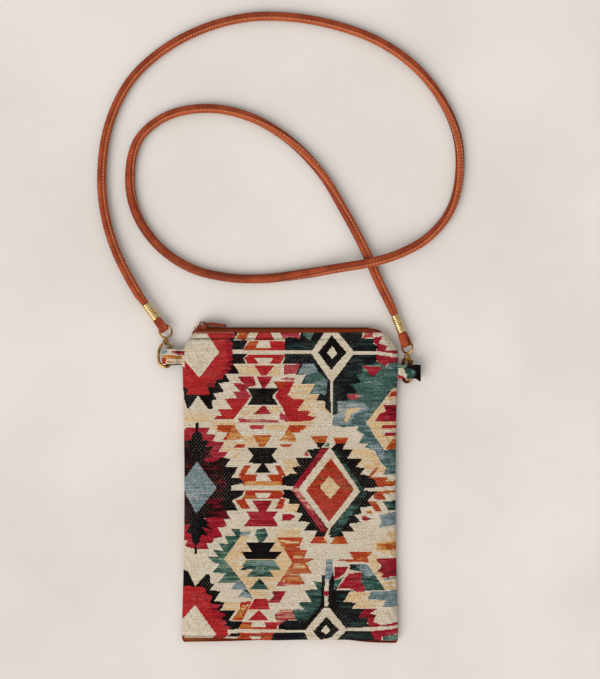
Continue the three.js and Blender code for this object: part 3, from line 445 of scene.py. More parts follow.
# The pouch is cut from one heavy ribbed cotton, printed like a flat-woven kilim: stepped diamonds,
# serrated borders and arrows in madder, rust, black, teal and undyed ecru. Shapes are drawn in
# half picks from the middle of the front, each dye over the ones before it.
PICK = 0.7
DYES = {
    "ecru": dye(225, 215, 199), "sand": dye(226, 201, 164), "ochre": dye(206, 142, 72),
    "rust": dye(188, 78, 38), "madder": dye(189, 46, 46), "crimson": dye(172, 30, 52),
    "rose": dye(188, 84, 96), "maroon": dye(34, 9, 13), "black": dye(9, 7, 9),
    "navy": dye(13, 21, 29), "teal": dye(60, 100, 92), "sage": dye(124, 152, 136),
    "slate": dye(141, 158, 166), "mist": dye(84, 118, 113), "brick": dye(184, 66, 42),
    "olive": dye(150, 92, 46),
}
KILIM = (
    # Left and middle, top
    ("black", -122, 294, -110, 310, -102, 310, -113, 294, -84, 294, -93, 275, -114, 275, -114, 266,
     -85, 266, -93, 258, -87, 247, -113, 247, -100, 227, -129, 226, -120, 211, -142, 208, -131, 191,
     -153, 187, -145, 176, -156, 173, -154, 159, -157, 156, -163, 156, -183, 184, -202, 156, -205, 156,
     -211, 174, -214, 200, -214, 230),
    ("madder", -216, 308, -113, 308, -122, 295, -113, 286, -114, 258, -122, 250, -113, 247, -120, 232,
     -129, 227, -134, 217, -150, 216, -147, 209, -164, 200, -160, 185, -207, 185, -203, 195, -213, 202),
    ("crimson", -126, 307, -107, 307, -112, 297, -121, 290, -112, 272, -119, 264, -126, 269, -130, 291),
    ("crimson", -119, 264, -114, 261, -113, 255, -121, 250, -114, 244, -119, 233, -129, 226, -143, 215,
     -152, 215, -133, 233, -126, 248, -124, 259),
    ("crimson", -164, 199, -148, 200, -152, 211, -143, 217, -155, 215, -168, 204),
    ("black", -112, 299, -123, 295, -112, 289),
    ("black", -112, 286, -119, 280, -112, 276),
    ("black", -112, 265, -119, 260, -112, 256),
    ("black", -112, 254, -124, 249, -112, 248),
    ("black", -112, 244, -122, 241, -117, 237, -122, 227, -100, 227),
    ("ecru", -226, 314, -188, 314, -188, 292, -226, 250),
    ("ecru", -190, 307, -166, 307, -141, 270, -181, 219, -213, 257, -208, 284),
    ("ecru", -183, 183, -160, 152, -160, 134, -211, 134, -209, 156, -203, 156),
    ("sand", -209, 148, -156, 150, -159, 131, -209, 131),
    ("rust", -99, 310, -80, 310, -90, 293, -108, 297),
    ("madder", -62, 310, -39, 310, -31, 293, -72, 293),
    ("rose", -20, 310, 20, 310, 16, 296, -14, 296),
    ("rust", -82, 291, -14, 291, -8, 274, -93, 274),
    ("madder", -39, 291, -13, 291, -8, 274, -44, 274),
    ("ecru", -62, 291, -42, 291, -38, 279, -68, 279),
    ("black", -6, 296, 20, 297, -6, 272, -12, 286),
    ("madder", -12, 292, -2, 294, -10, 282),
    ("madder", -91, 258, -82, 265, -8, 265, -19, 247, -84, 247),
    ("ecru", -71, 259, -33, 259, -41, 246, -61, 246),
    ("black", -7, 265, 20, 246, -16, 246),
    ("sand", -109, 243, -72, 243, -59, 224, -100, 225),
    ("madder", -72, 244, -31, 244, -47, 223, -57, 223),
    ("sand", -31, 242, -16, 242, -22, 224, -44, 224),
    ("rose", -12, 245, 18, 244, 10, 227, -13, 225),
    ("black", 20, 246, 20, 226, 12, 225),
    ("crimson", -104, 222, -73, 222, -67, 203, -82, 201, -98, 211),
    ("crimson", -67, 222, -33, 222, -50, 198, -55, 198),
    ("rose", -18, 219, 12, 218, -18, 215),
    ("rust", -33, 211, 10, 211, 4, 196, -21, 194),
    ("crimson", -114, 208, -87, 207, -80, 201, -88, 195, -77, 182, -104, 177, -114, 191, -100, 192),
    ("madder", -130, 177, -103, 178, -77, 182, -113, 136, -151, 137, -147, 142, -136, 144, -144, 156,
     -116, 156),
    ("madder", -21, 199, 4, 196, -6, 143, -30, 183),
    ("sand", 10, 210, 20, 208, 20, 184, -4, 184),
    ("ecru", -75, 180, -84, 198, -82, 200, -66, 202, -54, 196, -39, 202, -21, 198, -36, 182, -14, 148,
     -23, 132, -104, 132, -112, 136),
    ("black", -85, 198, -21, 198, -35, 182, -23, 164, -85, 164, -75, 180),
    ("sand", -90, 162, -21, 162, -15, 146, -99, 145),
    ("crimson", -55, 163, -50, 163, -37, 146, -73, 146),
    ("rose", -104, 138, -72, 136, -23, 135, -23, 129, -100, 129),
    ("rose", -19, 153, -9, 142, 2, 132, -21, 136),
    ("sand", -158, 134, -110, 133, -104, 114, -156, 114),
    ("rust", -143, 123, -113, 125, -106, 114, -148, 114),
    ("madder", -78, 125, -50, 125, -53, 119, -78, 118),
    ("sand", -47, 128, 0, 127, -10, 114, -47, 114),
    ("black", -188, 128, -182, 129, -182, 114),
    # Right, top
    ("teal", 96, 252, 190, 252, 190, 200, 88, 138),
    ("navy", -10, 297, -2, 301, 21, 296, 21, 310, 145, 310, 143, 298, 168, 296, 166, 287, 176, 281,
     172, 272, 172, 252, 180, 247, 145, 243, 143, 227, 132, 225, 141, 208, 119, 206, 133, 189, 112, 188,
     116, 176, 94, 172, 96, 144, 88, 144, 80, 148, 70, 172, 52, 173, 58, 186, 38, 187, 22, 207, 32, 224,
     10, 226, 21, 246, -10, 247),
    ("rose", -10, 310, 18, 310, 21, 297, -1, 300, -10, 298),
    ("sage", 26, 308, 48, 309, 44, 301, 39, 293, 27, 303),
    ("slate", 26, 246, 48, 246, 56, 231, 36, 225, 15, 227),
    ("mist", 36, 225, 56, 232, 76, 212, 76, 185, 41, 187, 49, 205, 26, 208, 34, 223),
    ("mist", 135, 224, 143, 227, 166, 219, 183, 237, 191, 240, 198, 248, 218, 248, 218, 199, 200, 196,
     151, 132, 156, 114, 142, 114, 135, 123, 106, 120, 83, 125, 88, 146, 98, 148, 96, 171, 116, 175,
     140, 175, 136, 188, 125, 203, 143, 208),
    ("slate", 94, 171, 116, 172, 146, 169, 159, 157, 128, 146, 119, 125, 85, 123, 89, 143, 97, 148),
    ("sand", 114, 157, 140, 159, 137, 153, 122, 148, 116, 132, 109, 132, 111, 148),
    ("rose", 112, 185, 134, 187, 141, 179, 123, 174, 116, 179),
    ("crimson", 144, 243, 185, 240, 171, 227, 166, 219, 160, 225),
    ("black", 76, 312, 88, 312, 132, 268, 84, 204, 36, 268),
    ("ecru", 70, 311, 94, 311, 129, 269, 83, 208, 41, 269),
    ("black", 83, 304, 113, 269, 82, 234, 56, 269),
    ("ecru", 84, 282, 94, 268, 84, 256, 74, 268),
    ("black", 74, 209, 80, 209, 80, 148, 68, 160, 70, 172),
    ("ecru", 80, 211, 86, 211, 85, 125, 82, 125),
    ("rose", 151, 310, 166, 308, 165, 299, 144, 297),
    ("ecru", 171, 310, 189, 307, 220, 286, 220, 264, 195, 272, 197, 283, 178, 287, 187, 302, 171, 300),
    ("crimson", 167, 299, 185, 302, 176, 287, 195, 283, 191, 274, 220, 272, 218, 264, 173, 270, 176, 281,
     166, 289),
    ("crimson", 172, 265, 219, 258, 218, 248, 198, 249, 191, 243, 180, 247, 172, 255),
    ("ecru", -10, 272, 43, 273, 42, 266, -10, 266),
    ("ecru", 122, 272, 174, 272, 219, 265, 219, 258, 174, 265, 125, 265),
    ("teal", 199, 197, 204, 196, 154, 130, 150, 133),
    ("sand", 202, 194, 218, 194, 218, 114, 160, 114, 153, 131),
    ("rust", 202, 191, 216, 191, 216, 182, 197, 182),
    ("ecru", 186, 173, 218, 174, 218, 167, 181, 167),
    ("crimson", 186, 164, 214, 164, 212, 131, 169, 131, 179, 148, 191, 152),
    ("madder", 186, 125, 210, 125, 210, 118, 181, 119),
    ("rose", -10, 245, 21, 246, 12, 227, -10, 226),
    ("ecru", -10, 224, 32, 224, 22, 208, -10, 208),
    ("rose", -10, 220, 12, 217, 6, 213, -10, 214),
    ("sand", -10, 208, 50, 206, 38, 186, 58, 185, 52, 173, 67, 171, 70, 159, 81, 148, 81, 126, 32, 114,
     -10, 114),
    ("ecru", 53, 157, 81, 147, 81, 114, 36, 114, 54, 140),
    ("madder", -10, 212, 9, 211, -5, 185, 7, 177, 30, 175, 14, 154, 41, 152, 34, 143, 53, 141, 42, 133,
     4, 131, -10, 142),
    ("rose", -10, 148, 2, 131, -10, 131),
    ("rust", -1, 124, 33, 124, 27, 114, -7, 114),
    # Left and middle, half way down
    ("crimson", -215, 108, -208, 119, -159, 119, -166, 107, -147, 105, -154, 94, -149, 92, -129, 92,
     -142, 72, -123, 71, -132, 59, -170, 50, -216, 62),
    ("ecru", -145, 110, -124, 110, -132, 94, -153, 94, -149, 101),
    ("maroon", -216, 72, -170, 73, -149, 59, -132, 59, -118, 58, -130, 42, -116, -26, -132, -48, -120, -62,
     -138, -63, -170, -56, -216, -66),
    ("black", -138, 59, -118, 58, -129, 42, -103, 41, -116, 20, -96, 20, -90, 9, -117, 4, -117, -5, -91, -5,
     -95, -16, -115, -26, -104, -45, -131, -47, -137, -60, -134, -32, -128, 2, -131, 37),
    ("crimson", -170, 59, -149, 62, -166, 48),
    ("crimson", -216, -78, -194, -68, -126, -77, -143, -80, -135, -97, -216, -106),
    ("maroon", -212, 93, -198, 92, -178, 72, -151, 84, -160, 70, -164, 59, -120, 58, -140, 42, -212, 42),
    ("crimson", -172, 58, -154, 61, -140, 58, -152, 51, -170, 52),
    ("black", -188, 129, -184, 129, -183, 112, -176, 108, -174, 95, -162, 95, -168, 80, -150, 84, -172, 70,
     -177, 58, -184, 50, -192, 58, -200, 78, -206, 92, -196, 96, -194, 108, -188, 110),
    ("black", -188, 124, -184, 124, -183, 106, -188, 107),
    ("maroon", -212, -40, -130, -40, -119, -62, -140, -62, -174, -60, -212, -78),
    ("crimson", -212, -76, -198, -74, -172, -62, -152, -59, -132, -62, -125, -78, -212, -84),
    ("black", -187, -51, -174, -60, -160, -70, -166, -74, -150, -86, -174, -79, -164, -96, -177, -94,
     -184, -112, -194, -110, -198, -92, -208, -90, -198, -74, -208, -72, -194, -56),
    ("slate", -185, 52, -146, -1, -187, -52, -211, -7, -211, 17),
    ("rust", -154, 125, -111, 125, -108, 116, -120, 108, -127, 95, -135, 94, -124, 109, -145, 112,
     -133, 121),
    ("ochre", -116, 119, -106, 116, -92, 98, -128, 93, -120, 108),
    ("sand", -131, 91, -89, 91, -87, 84, -112, 73, -137, 73),
    ("madder", -81, 123, -51, 124, -54, 117, -79, 117),
    ("sand", -96, 105, -75, 105, -62, 81, -84, 82),
    ("rust", -75, 105, -35, 105, -51, 81, -61, 81),
    ("ochre", -72, 101, -38, 101, -52, 82, -60, 82),
    ("rust", -11, 110, 5, 124, 20, 124, 20, 110),
    ("ochre", -3, 115, 10, 104, 13, 91, -22, 93),
    ("rust", -22, 87, 6, 87, 0, 81, -15, 81),
    ("rust", -111, 80, -106, 87, -88, 87, -92, 79),
    ("sand", -115, 70, -99, 70, -103, 59, -115, 59),
    ("sand", -9, 62, 9, 57, 0, 48, -17, 49),
    ("black", -86, 80, -23, 80, -36, 64, -24, 49, -51, 48, -38, 29, -70, 29, -57, 48, -84, 49, -73, 64),
    ("black", 11, 59, 20, 58, 20, 42),
    ("black", 8, 4, -17, 4, -16, 21, -2, 24, -2, 28, 10, 28),
    ("rust", -90, 45, -77, 45, -93, 22, -104, 22),
    ("rust", -31, 45, -20, 45, -7, 22, -19, 22),
    ("rust", -102, 19, -92, 26, -17, 26, -15, 7, -20, 4, -92, 4, -95, 15),
    ("ochre", -89, 13, -18, 13, -20, 4, -90, 4),
    ("ecru", -64, 28, -46, 28, -38, 13, -69, 13),
    ("rust", -90, -5, -17, -5, -12, -13, -18, -22, -95, -22, -89, -12),
    ("ecru", -70, -10, -37, -10, -43, -20, -65, -20),
    ("black", -15, -4, 6, -5, 2, -24, -17, -19, -11, -13),
    ("ecru", -116, 3, 4, 3, 4, -4, -117, -4),
    ("rust", -109, -25, -90, -22, -79, -43, -96, -43),
    ("rust", -19, -22, -8, -22, -15, -43, -31, -43),
    ("crimson", -76, -25, -34, -25, -48, -47, -23, -47, -33, -60, -23, -77, -92, -77, -79, -60, -87, -47,
     -62, -47),
    ("sand", -12, -33, 16, -33, 8, -49, -11, -49),
    ("crimson", -15, -53, 10, -55, 2, -66, -16, -66),
    ("black", 10, -49, 20, -42, 20, -50),
    ("teal", -117, -82, -99, -83, -99, -94, -110, -106, -124, -106, -131, -97, -109, -95),
    ("teal", -65, -83, -49, -81, -44, -95, -51, -106, -71, -95),
    ("slate", -98, -87, -79, -88, -80, -94, -98, -96),
    ("sand", -25, -83, 20, -83, 20, -106, -26, -106),
    ("rust", -24, -99, 20, -99, 20, -106),
    # Right, half way down: the great diamond
    ("sand", -10, 52, 11, 54, 20, 40, 12, 28, -10, 28),
    ("black", 62, 79, 34, 75, 44, 60, 11, 59, 22, 43, 4, 41, 13, 28, -1, 27, -10, 21, -10, 4, 6, 1, 4, -6,
     -10, -6, -10, -20, 2, -21, -3, -32, 18, -33, 11, -49, 26, -52, 15, -67, 40, -69, 28, -85, 54, -86,
     48, -98, 68, -98, 83, -70, 84, 79),
    ("black", 83, 79, 91, 87, 110, 87, 105, 77, 128, 76, 114, 58, 144, 57, 131, 41, 150, 39, 140, 27,
     157, 24, 170, 19, 176, 1, 148, -2, 148, -6, 177, -8, 166, -14, 155, -26, 162, -37, 139, -40, 143, -52,
     129, -55, 141, -69, 117, -72, 129, -87, 103, -88, 108, -99, 80, -99),
    ("crimson", 63, 78, 78, 79, 17, -2, 75, -87, 63, -89, 3, -3),
    ("rose", 9, 5, 17, -2, 50, -51, 47, -55, 3, -3),
    ("teal", 80, 74, 92, 75, 152, -11, 151, -18, 93, -96, 75, -94, 138, -9),
    ("ecru", 80, 81, 140, -8, 78, -85, 16, -3),
    ("brick", 81, 59, 128, -4, 78, -68, 32, -5),
    ("sand", 78, 23, 99, 0, 80, -23, 59, 1),
    ("rust", 40, 103, 75, 103, 71, 89, 51, 89),
    ("rust", 85, 100, 117, 100, 111, 88, 91, 88),
    ("black", 51, 89, 71, 89, 62, 79, 57, 79),
    ("black", 91, 88, 110, 88, 105, 77, 94, 76),
    ("sage", 74, 90, 80, 89, 78, 82, 68, 81),
    ("mist", 133, 115, 138, 124, 156, 124, 169, 102, 189, 74, 212, 80, 212, 26, 186, 26, 190, 40, 178, 54,
     169, 74, 149, 80, 156, 87, 137, 89, 147, 106),
    ("slate", 154, 84, 175, 88, 189, 73, 184, 54, 169, 74),
    ("sand", 126, 77, 162, 77, 177, 60, 178, 49, 192, 40, 187, 27, 151, 34, 147, 43, 133, 43, 144, 57,
     115, 58),
    ("sand", 156, 124, 181, 124, 178, 109, 212, 102, 212, 94, 189, 76),
    ("madder", 181, 121, 208, 123, 208, 118, 184, 118),
    ("crimson", 190, 109, 210, 110, 210, 103, 187, 103),
    ("rust", 205, 97, 212, 96, 212, 76, 190, 76),
    ("rust", 155, 22, 173, 42, 177, 39, 163, 22),
    ("rust", 156, 21, 196, 21, 190, 12, 212, 14, 212, 4, 175, 1, 169, 16),
    ("rust", 167, -12, 177, -7, 212, -5, 212, -10, 186, -13, 192, -24, 168, -23),
    ("rust", 155, -27, 172, -27, 183, -48, 171, -48),
    ("ecru", -10, 3, 6, 3, 6, -3, -10, -3),
    ("ecru", 148, 0, 212, -1, 212, -6, 149, -6),
    ("teal", 185, -28, 212, -26, 212, -46, 196, -45),
    ("slate", 177, -55, 212, -48, 212, -76, 177, -79, 183, -67),
    ("crimson", 142, -58, 151, -56, 162, -63, 151, -67, 144, -64),
    ("ochre", 152, -45, 163, -45, 163, -52, 152, -51),
    ("sand", -10, -34, 19, -34, 13, -48, -10, -48),
    ("crimson", -10, -53, 4, -53, 11, -58, -1, -66, -10, -64),
    ("rose", 27, 64, 33, 74, 39, 63),
    ("sand", 196, -88, 212, -85, 212, -106, 184, -106),
    # Left and middle, bottom
    ("crimson", -216, -96, -135, -96, -136, -99, -151, -101, -155, -110, -166, -111, -162, -122, -188, -123,
     -210, -117, -205, -106, -214, -101),
    ("black", -196, -96, -179, -96, -180, -109, -186, -113, -186, -133, -190, -133, -190, -113, -195, -109),
    ("black", -216, -184, -212, -164, -204, -167, -189, -196, -167, -172, -160, -172, -159, -190,
     -150, -191, -159, -204, -137, -206, -151, -226, -126, -228, -139, -244, -108, -245, -122, -265,
     -94, -267, -103, -282, -124, -283, -216, -284),
    ("madder", -208, -196, -169, -199, -167, -211, -154, -216, -160, -230, -138, -262, -124, -269,
     -131, -275, -116, -277, -124, -286, -123, -294, -137, -305, -218, -305, -216, -204),
    ("crimson", -160, -230, -138, -233, -146, -244, -127, -253, -137, -261, -124, -269, -137, -267,
     -156, -245),
    ("ecru", -189, -234, -147, -292, -156, -303, -210, -301, -218, -288, -217, -266),
    ("teal", -129, -96, -98, -96, -110, -113, -132, -143, -120, -152, -84, -202, -74, -221, -103, -216,
     -90, -204, -116, -202, -108, -190, -145, -190, -127, -171, -154, -169, -140, -152, -149, -151,
     -165, -137, -143, -137, -154, -123, -132, -126, -143, -110, -123, -113),
    ("slate", -117, -202, -107, -188, -101, -183, -86, -202),
    ("slate", -103, -218, -91, -204, -75, -219),
    ("sand", -98, -96, -68, -96, -50, -110, -23, -96, 5, -150, -25, -196, -45, -219, -73, -219, -101, -180,
     -131, -142),
    ("ecru", -84, -96, -68, -96, -56, -111, -28, -105, -40, -127, -87, -110),
    ("teal", -68, -96, -47, -96, -53, -108, -62, -109),
    ("black", -87, -110, -29, -110, -42, -128, -16, -128, -29, -143, -86, -143, -97, -128, -76, -128),
    ("sage", -86, -144, -32, -144, -23, -157, -96, -157),
    ("teal", -89, -156, -25, -156, -18, -164, -42, -164, -32, -178, -89, -178, -73, -163, -100, -164),
    ("sage", -68, -158, -48, -157, -53, -166, -72, -166),
    ("teal", -61, -180, -42, -202, -80, -202),
    ("rust", -25, -99, 20, -100, 20, -117, -17, -117),
    ("sand", -20, -104, 16, -104, 12, -108, -19, -107),
    ("rust", -14, -119, 20, -119, 20, -194, -27, -196, 5, -150),
    ("sand", -6, -174, 20, -172, 20, -190, -15, -188),
    ("rose", -23, -189, 20, -190, 20, -194, -27, -197),
    ("sand", -80, -205, -45, -205, -46, -219, -73, -219),
    ("crimson", -36, -207, -7, -206, -14, -217, -21, -230, -47, -229, -32, -217),
    ("sand", -131, -228, -99, -228, -104, -245, -137, -245),
    ("rust", -99, -228, -76, -226, -95, -265, -118, -265, -101, -245),
    ("ochre", -95, -235, -82, -233, -99, -258, -106, -258),
    ("madder", -70, -221, -46, -221, -40, -242, -84, -243),
    ("madder", -62, -243, -42, -264, -83, -264),
    ("rust", -95, -268, -24, -268, -26, -282, -102, -282),
    ("madder", -51, -268, -23, -268, -26, -282, -48, -282),
    ("ecru", -74, -268, -51, -268, -48, -277, -78, -277),
    ("rose", -20, -243, 4, -243, 11, -263, -8, -264, -14, -274, -24, -275, -31, -253),
    ("black", -9, -264, 20, -264, 20, -284, -24, -283, -22, -275),
    ("teal", 4, -244, 20, -241, 20, -264, 12, -263),
    ("black", -117, -289, -98, -290, -101, -297, -124, -298),
    ("rust", -101, -288, -32, -288, -34, -305, -115, -305, -99, -297),
    ("ecru", -82, -296, -56, -296, -61, -303, -76, -303),
    ("navy", -33, -288, 20, -290, 20, -305, -37, -305),
    ("ecru", -124, -283, 20, -283, 20, -289, -124, -290),
    # Right, bottom
    ("rust", -10, -99, 27, -100, 17, -117, -10, -116),
    ("sand", -10, -106, 18, -108, 16, -111, -10, -110),
    ("rust", 50, -97, 66, -97, 75, -111, 39, -111),
    ("rust", 91, -97, 108, -97, 116, -112, 80, -112),
    ("rust", -10, -118, 13, -118, 9, -124, 35, -124, 30, -135, 27, -141, 51, -142, 32, -150, 44, -171,
     -7, -172, 5, -148, -10, -124),
    ("ochre", 8, -151, 30, -151, 33, -163, 3, -163),
    ("ochre", 6, -135, 26, -135, 26, -141, 6, -141),
    ("rust", -10, -174, 18, -174, 31, -193, -10, -193),
    ("ochre", -6, -177, 17, -177, 23, -184, -6, -186),
    ("sand", 169, -107, 214, -105, 214, -138, 168, -127),
    ("ochre", 174, -111, 214, -109, 214, -124, 171, -124),
    ("rust", 118, -128, 165, -128, 154, -139, 159, -149, 93, -146, 101, -142, 126, -142),
    ("sand", 159, -133, 174, -135, 184, -177, 214, -186, 214, -203, 190, -203, 156, -150),
    ("teal", 120, -153, 154, -152, 190, -204, 124, -207, 136, -180, 132, -168, 118, -162),
    ("slate", 130, -156, 154, -154, 168, -174, 151, -177, 139, -163),
    ("crimson", 170, -142, 214, -140, 214, -177, 181, -180, 186, -171, 174, -168, 183, -156),
    ("slate", 186, -181, 214, -178, 214, -183, 187, -184),
    ("navy", -10, -264, 14, -268, 17, -255, 28, -242, 15, -229, 43, -227, 29, -204, 56, -203, 46, -186,
     63, -189, 62, -175, 68, -175, 86, -166, 89, -190, 108, -178, 93, -204, 124, -205, 106, -228, 134, -227,
     124, -241, 150, -241, 156, -260, 154, -271, 160, -276, 168, -304, -10, -305),
    ("teal", 46, -186, 63, -192, 62, -231, 35, -266, 17, -266, 5, -243, 28, -243, 16, -230, 43, -228,
     30, -205, 56, -203),
    ("black", 65, -175, 69, -175, 69, -240, 28, -286, 17, -281, 62, -239),
    ("black", 77, -186, 86, -168, 87, -200, 94, -230, 106, -260, 114, -284, 78, -238),
    ("crimson", 89, -158, 117, -158, 108, -171, 97, -180, 87, -183),
    ("ecru", 114, -162, 144, -168, 94, -201, 109, -171),
    ("crimson", 117, -171, 143, -169, 141, -189, 149, -198, 150, -208, 130, -207, 123, -202, 94, -201),
    ("teal", 89, -184, 108, -177, 93, -200, 88, -203),
    ("slate", 72, -142, 85, -142, 86, -168, 78, -187, 77, -202, 70, -202, 70, -168),
    ("ecru", 69, -183, 77, -183, 76, -240, 69, -242),
    ("crimson", 68, -206, 77, -206, 76, -216, 67, -215),
    ("sand", 118, -208, 162, -208, 156, -222, 189, -225, 183, -238, 124, -240, 132, -229, 108, -228),
    ("slate", 162, -206, 214, -205, 214, -237, 185, -238, 190, -225, 155, -222),
    ("crimson", 149, -241, 175, -241, 159, -251, 172, -253, 166, -268, 186, -268, 181, -274, 214, -269,
     214, -276, 160, -282, 156, -272, 156, -260, 136, -259),
    ("ecru", 177, -241, 214, -239, 214, -268, 182, -273, 168, -268, 173, -253, 160, -251),
    ("navy", 108, -284, 160, -284, 170, -305, 92, -305),
    ("crimson", 159, -285, 214, -280, 214, -292, 183, -298, 183, -305, 169, -304),
    ("teal", 184, -297, 214, -293, 214, -308, 186, -306),
    ("black", 65, -236, 81, -236, 117, -283, 94, -306, 35, -306, 25, -288),
    ("ecru", 68, -239, 78, -239, 114, -283, 93, -305, 37, -305, 28, -288),
    ("black", 73, -257, 98, -283, 80, -301, 60, -304, 46, -287),
    ("ecru", 72, -274, 81, -285, 71, -293, 62, -285),
    ("ecru", -10, -284, 31, -284, 33, -289, -10, -289),
    ("ecru", 112, -280, 214, -275, 214, -281, 170, -285, 112, -286),
    # The white bar across the top once more, over both halves
    ("ecru", -114, 273, 20, 273, 20, 266, -114, 266),
    # The turned edge along the foot
    ("rust", -216, -307, 216, -307, 216, -324, -216, -324),
    # Left tab
    ("ecru", -272, 284, -210, 280, -210, 240, -272, 240),
    ("slate", -256, 276, -245, 275, -244, 268, -256, 265),
    ("rose", -234, 272, -210, 272, -211, 264, -222, 264, -237, 269),
    ("crimson", -233, 272, -210, 271, -210, 268, -222, 267),
    ("ochre", -258, 264, -240, 265, -216, 261, -216, 256, -247, 256, -247, 246, -258, 246),
    ("rust", -258, 258, -248, 258, -247, 246, -258, 246),
    ("ochre", -244, 252, -216, 250, -216, 248, -244, 248),
    ("maroon", -248, 246, -216, 246, -216, 240, -246, 240),
    # Right tab
    ("black", 216, 248, 264, 248, 264, 206, 216, 206),
    ("sage", 216, 248, 232, 245, 228, 236, 216, 239),
    ("ecru", 216, 237, 226, 239, 231, 228, 234, 216, 216, 226),
    ("madder", 216, 225, 228, 221, 237, 208, 216, 206),
    ("teal", 229, 240, 240, 237, 250, 230, 249, 218, 240, 214, 229, 229),
    ("sage", 240, 236, 249, 232, 244, 225),
    ("maroon", 251, 247, 262, 244, 262, 234, 253, 236),
)
# The two dyes that run into each dye along the wefts, and how far
RUNS = {
    "ecru": ("sand", "ecru", 0.3), "sand": ("ecru", "sand", 0.9), "ochre": ("sand", "rust", 0.7),
    "rust": ("madder", "ochre", 0.7), "madder": ("crimson", "rose", 0.5),
    "crimson": ("maroon", "rose", 0.55), "rose": ("crimson", "sand", 0.7),
    "maroon": ("black", "crimson", 0.42), "black": ("black", "navy", 0.8), "navy": ("black", "teal", 0.4),
    "teal": ("navy", "sage", 0.95), "sage": ("teal", "slate", 0.8), "slate": ("mist", "ecru", 0.35),
    "mist": ("teal", "slate", 0.9), "brick": ("olive", "madder", 0.8), "olive": ("brick", "ochre", 0.5),
}
# In picks, the least and greatest x and y of the print on each panel: a cell past them takes the
# dye of the edge. The back's print lies lower, so that its rust edge shows past the front's foot.
FRONT_EDGES = (-106.5, 104.8, -151.5, 154.0)
BACK_EDGES = (-106.5, 104.8, -160.0, 154.0)
BACK_DROP = 2.1
# How dark the painted shade in the creases of the panels is
CREASE_SHADE = 0.42
RIB, FLOAT = 1.4, 2.2
chance = np.random.default_rng(11)
weft_shift = chance.uniform(-0.22, 0.22, 512)
weft_run = chance.random((512, 64))
patch_run = chance.random((40, 40))


def between(table, row, column):
    """A table of chances read smoothly along its columns."""
    first = np.floor(column).astype(int)
    part = column - first
    wide = table.shape[1]
    return table[row, first % wide] * (1 - part) + table[row, (first + 1) % wide] * part


def dyed(x, y, edges):
    """The dye of woven cells at places in mm: each weft strays from its line, and dyes run along it."""
    weft = np.floor(y / RIB).astype(int) % 512
    x = x / PICK + weft_shift[weft]
    y = y / PICK
    down = (y + 200) / 13
    row = np.floor(down).astype(int)
    patch = (between(patch_run, row % 40, (x + 200) / 15) * (1 - down + row)
             + between(patch_run, (row + 1) % 40, (x + 200) / 15) * (down - row))
    run = 1.5 * between(weft_run, weft, (x + 200) / 9) + 1.1 * patch - 1.3
    inside_cloth = (np.abs(x) < 108) & (np.abs(y) < 160)
    x = np.where(inside_cloth, np.clip(x, edges[0], edges[1]), x)
    y = np.where(inside_cloth, np.clip(y, edges[2], edges[3]), y)
    names = list(DYES)
    which = np.full(len(x), names.index("ecru"))
    for name, *outline in KILIM:
        px, py = np.array(outline[0::2]) / 2, np.array(outline[1::2]) / 2
        near = np.flatnonzero((x > px.min()) & (x < px.max()) & (y > py.min()) & (y < py.max()))
        inside = np.zeros(len(near), bool)
        for x0, y0, x1, y1 in zip(px, py, np.roll(px, -1), np.roll(py, -1)):
            if y0 != y1:
                beside = x[near] < x0 + (y[near] - y0) * (x1 - x0) / (y1 - y0)
                inside ^= ((y0 > y[near]) != (y1 > y[near])) & beside
        which[near[inside]] = names.index(name)
    own = np.array([DYES[name] for name in names])
    under, over = (np.array([DYES[RUNS[name][k]] for name in names]) for k in (0, 1))
    part = np.clip((np.abs(run) - 0.12) * 1.6, 0, 1) * np.array([RUNS[name][2] for name in names])[which]
    other = np.where(run[:, None] < 0, under[which], over[which])
    return own[which] * (1 - part[:, None]) + other * part[:, None]


def print_on(made, edges=FRONT_EDGES, shade=None):
    """Dyes a cloth piece cell by cell, by where each cell lies; shade darkens its creases, a painted shade
    baked into the dye attribute with the print.
    """
    mesh = made.data
    centres = np.zeros(len(mesh.polygons) * 3)
    mesh.polygons.foreach_get("center", centres)
    x, y, _ = centres.reshape(-1, 3).T / MM
    colour = dyed(-x, y - BACK_DROP, edges) if edges is BACK_EDGES else dyed(x, y, edges)
    # Painted shade along the hem and foot creases, darkening the dye.
    if shade:
        colour = colour * (1 - CREASE_SHADE * np.clip(shade(x, y), 0, 1)[:, None])
    corners = np.zeros(len(mesh.polygons), int)
    mesh.polygons.foreach_get("loop_total", corners)
    layer = mesh.color_attributes.new("dye", "FLOAT_COLOR", "CORNER")
    shown = np.repeat(np.column_stack([colour, np.ones(len(colour))]), corners, axis=0)
    layer.data.foreach_set("color", shown.astype(np.float32).ravel())


material, start, spot = finish_named("kilim_cloth")
across, along = (start.node("SeparateXYZ", None, {"Vector": spot}, out=axis) for axis in "XY")
ribs = along.sums("SINE", along * (math.pi / (RIB * MM)))
floats = across.sums("SINE", across * (2 * math.pi / (FLOAT * MM))) * ribs
slub = noise(start, spot, 900.0, 3.0)
fine = across.sums("SINE", across * (2 * math.pi / (0.62 * MM))) * along.sums(
    "SINE", along * (2 * math.pi / (0.7 * MM)))
fibre = start.node("TexNoise", None, {"Vector": start.node("Mapping", None, {
    "Vector": spot, "Scale": (500.0, 5200.0, 900.0)}), "Scale": 1.0, "Detail": 3.0}, out="Fac")
streak = start.node("TexNoise", None, {"Vector": start.node("Mapping", None, {
    "Vector": spot, "Scale": (70.0, 1100.0, 70.0)}), "Scale": 1.0, "Detail": 4.0}, out="Fac")
wash = noise(start, spot, 55.0, 4.0)
# The dye attribute holds the print and, on the panels, the painted shade of the creases.
printed_and_shaded = start.node("Attribute", {"attribute_name": "dye"}, out="Color")
light = start.node("RGBToBW", None, {"Color": printed_and_shaded})
grain = noise(start, spot, 1500.0, 2.0)
paler = printed_and_shaded
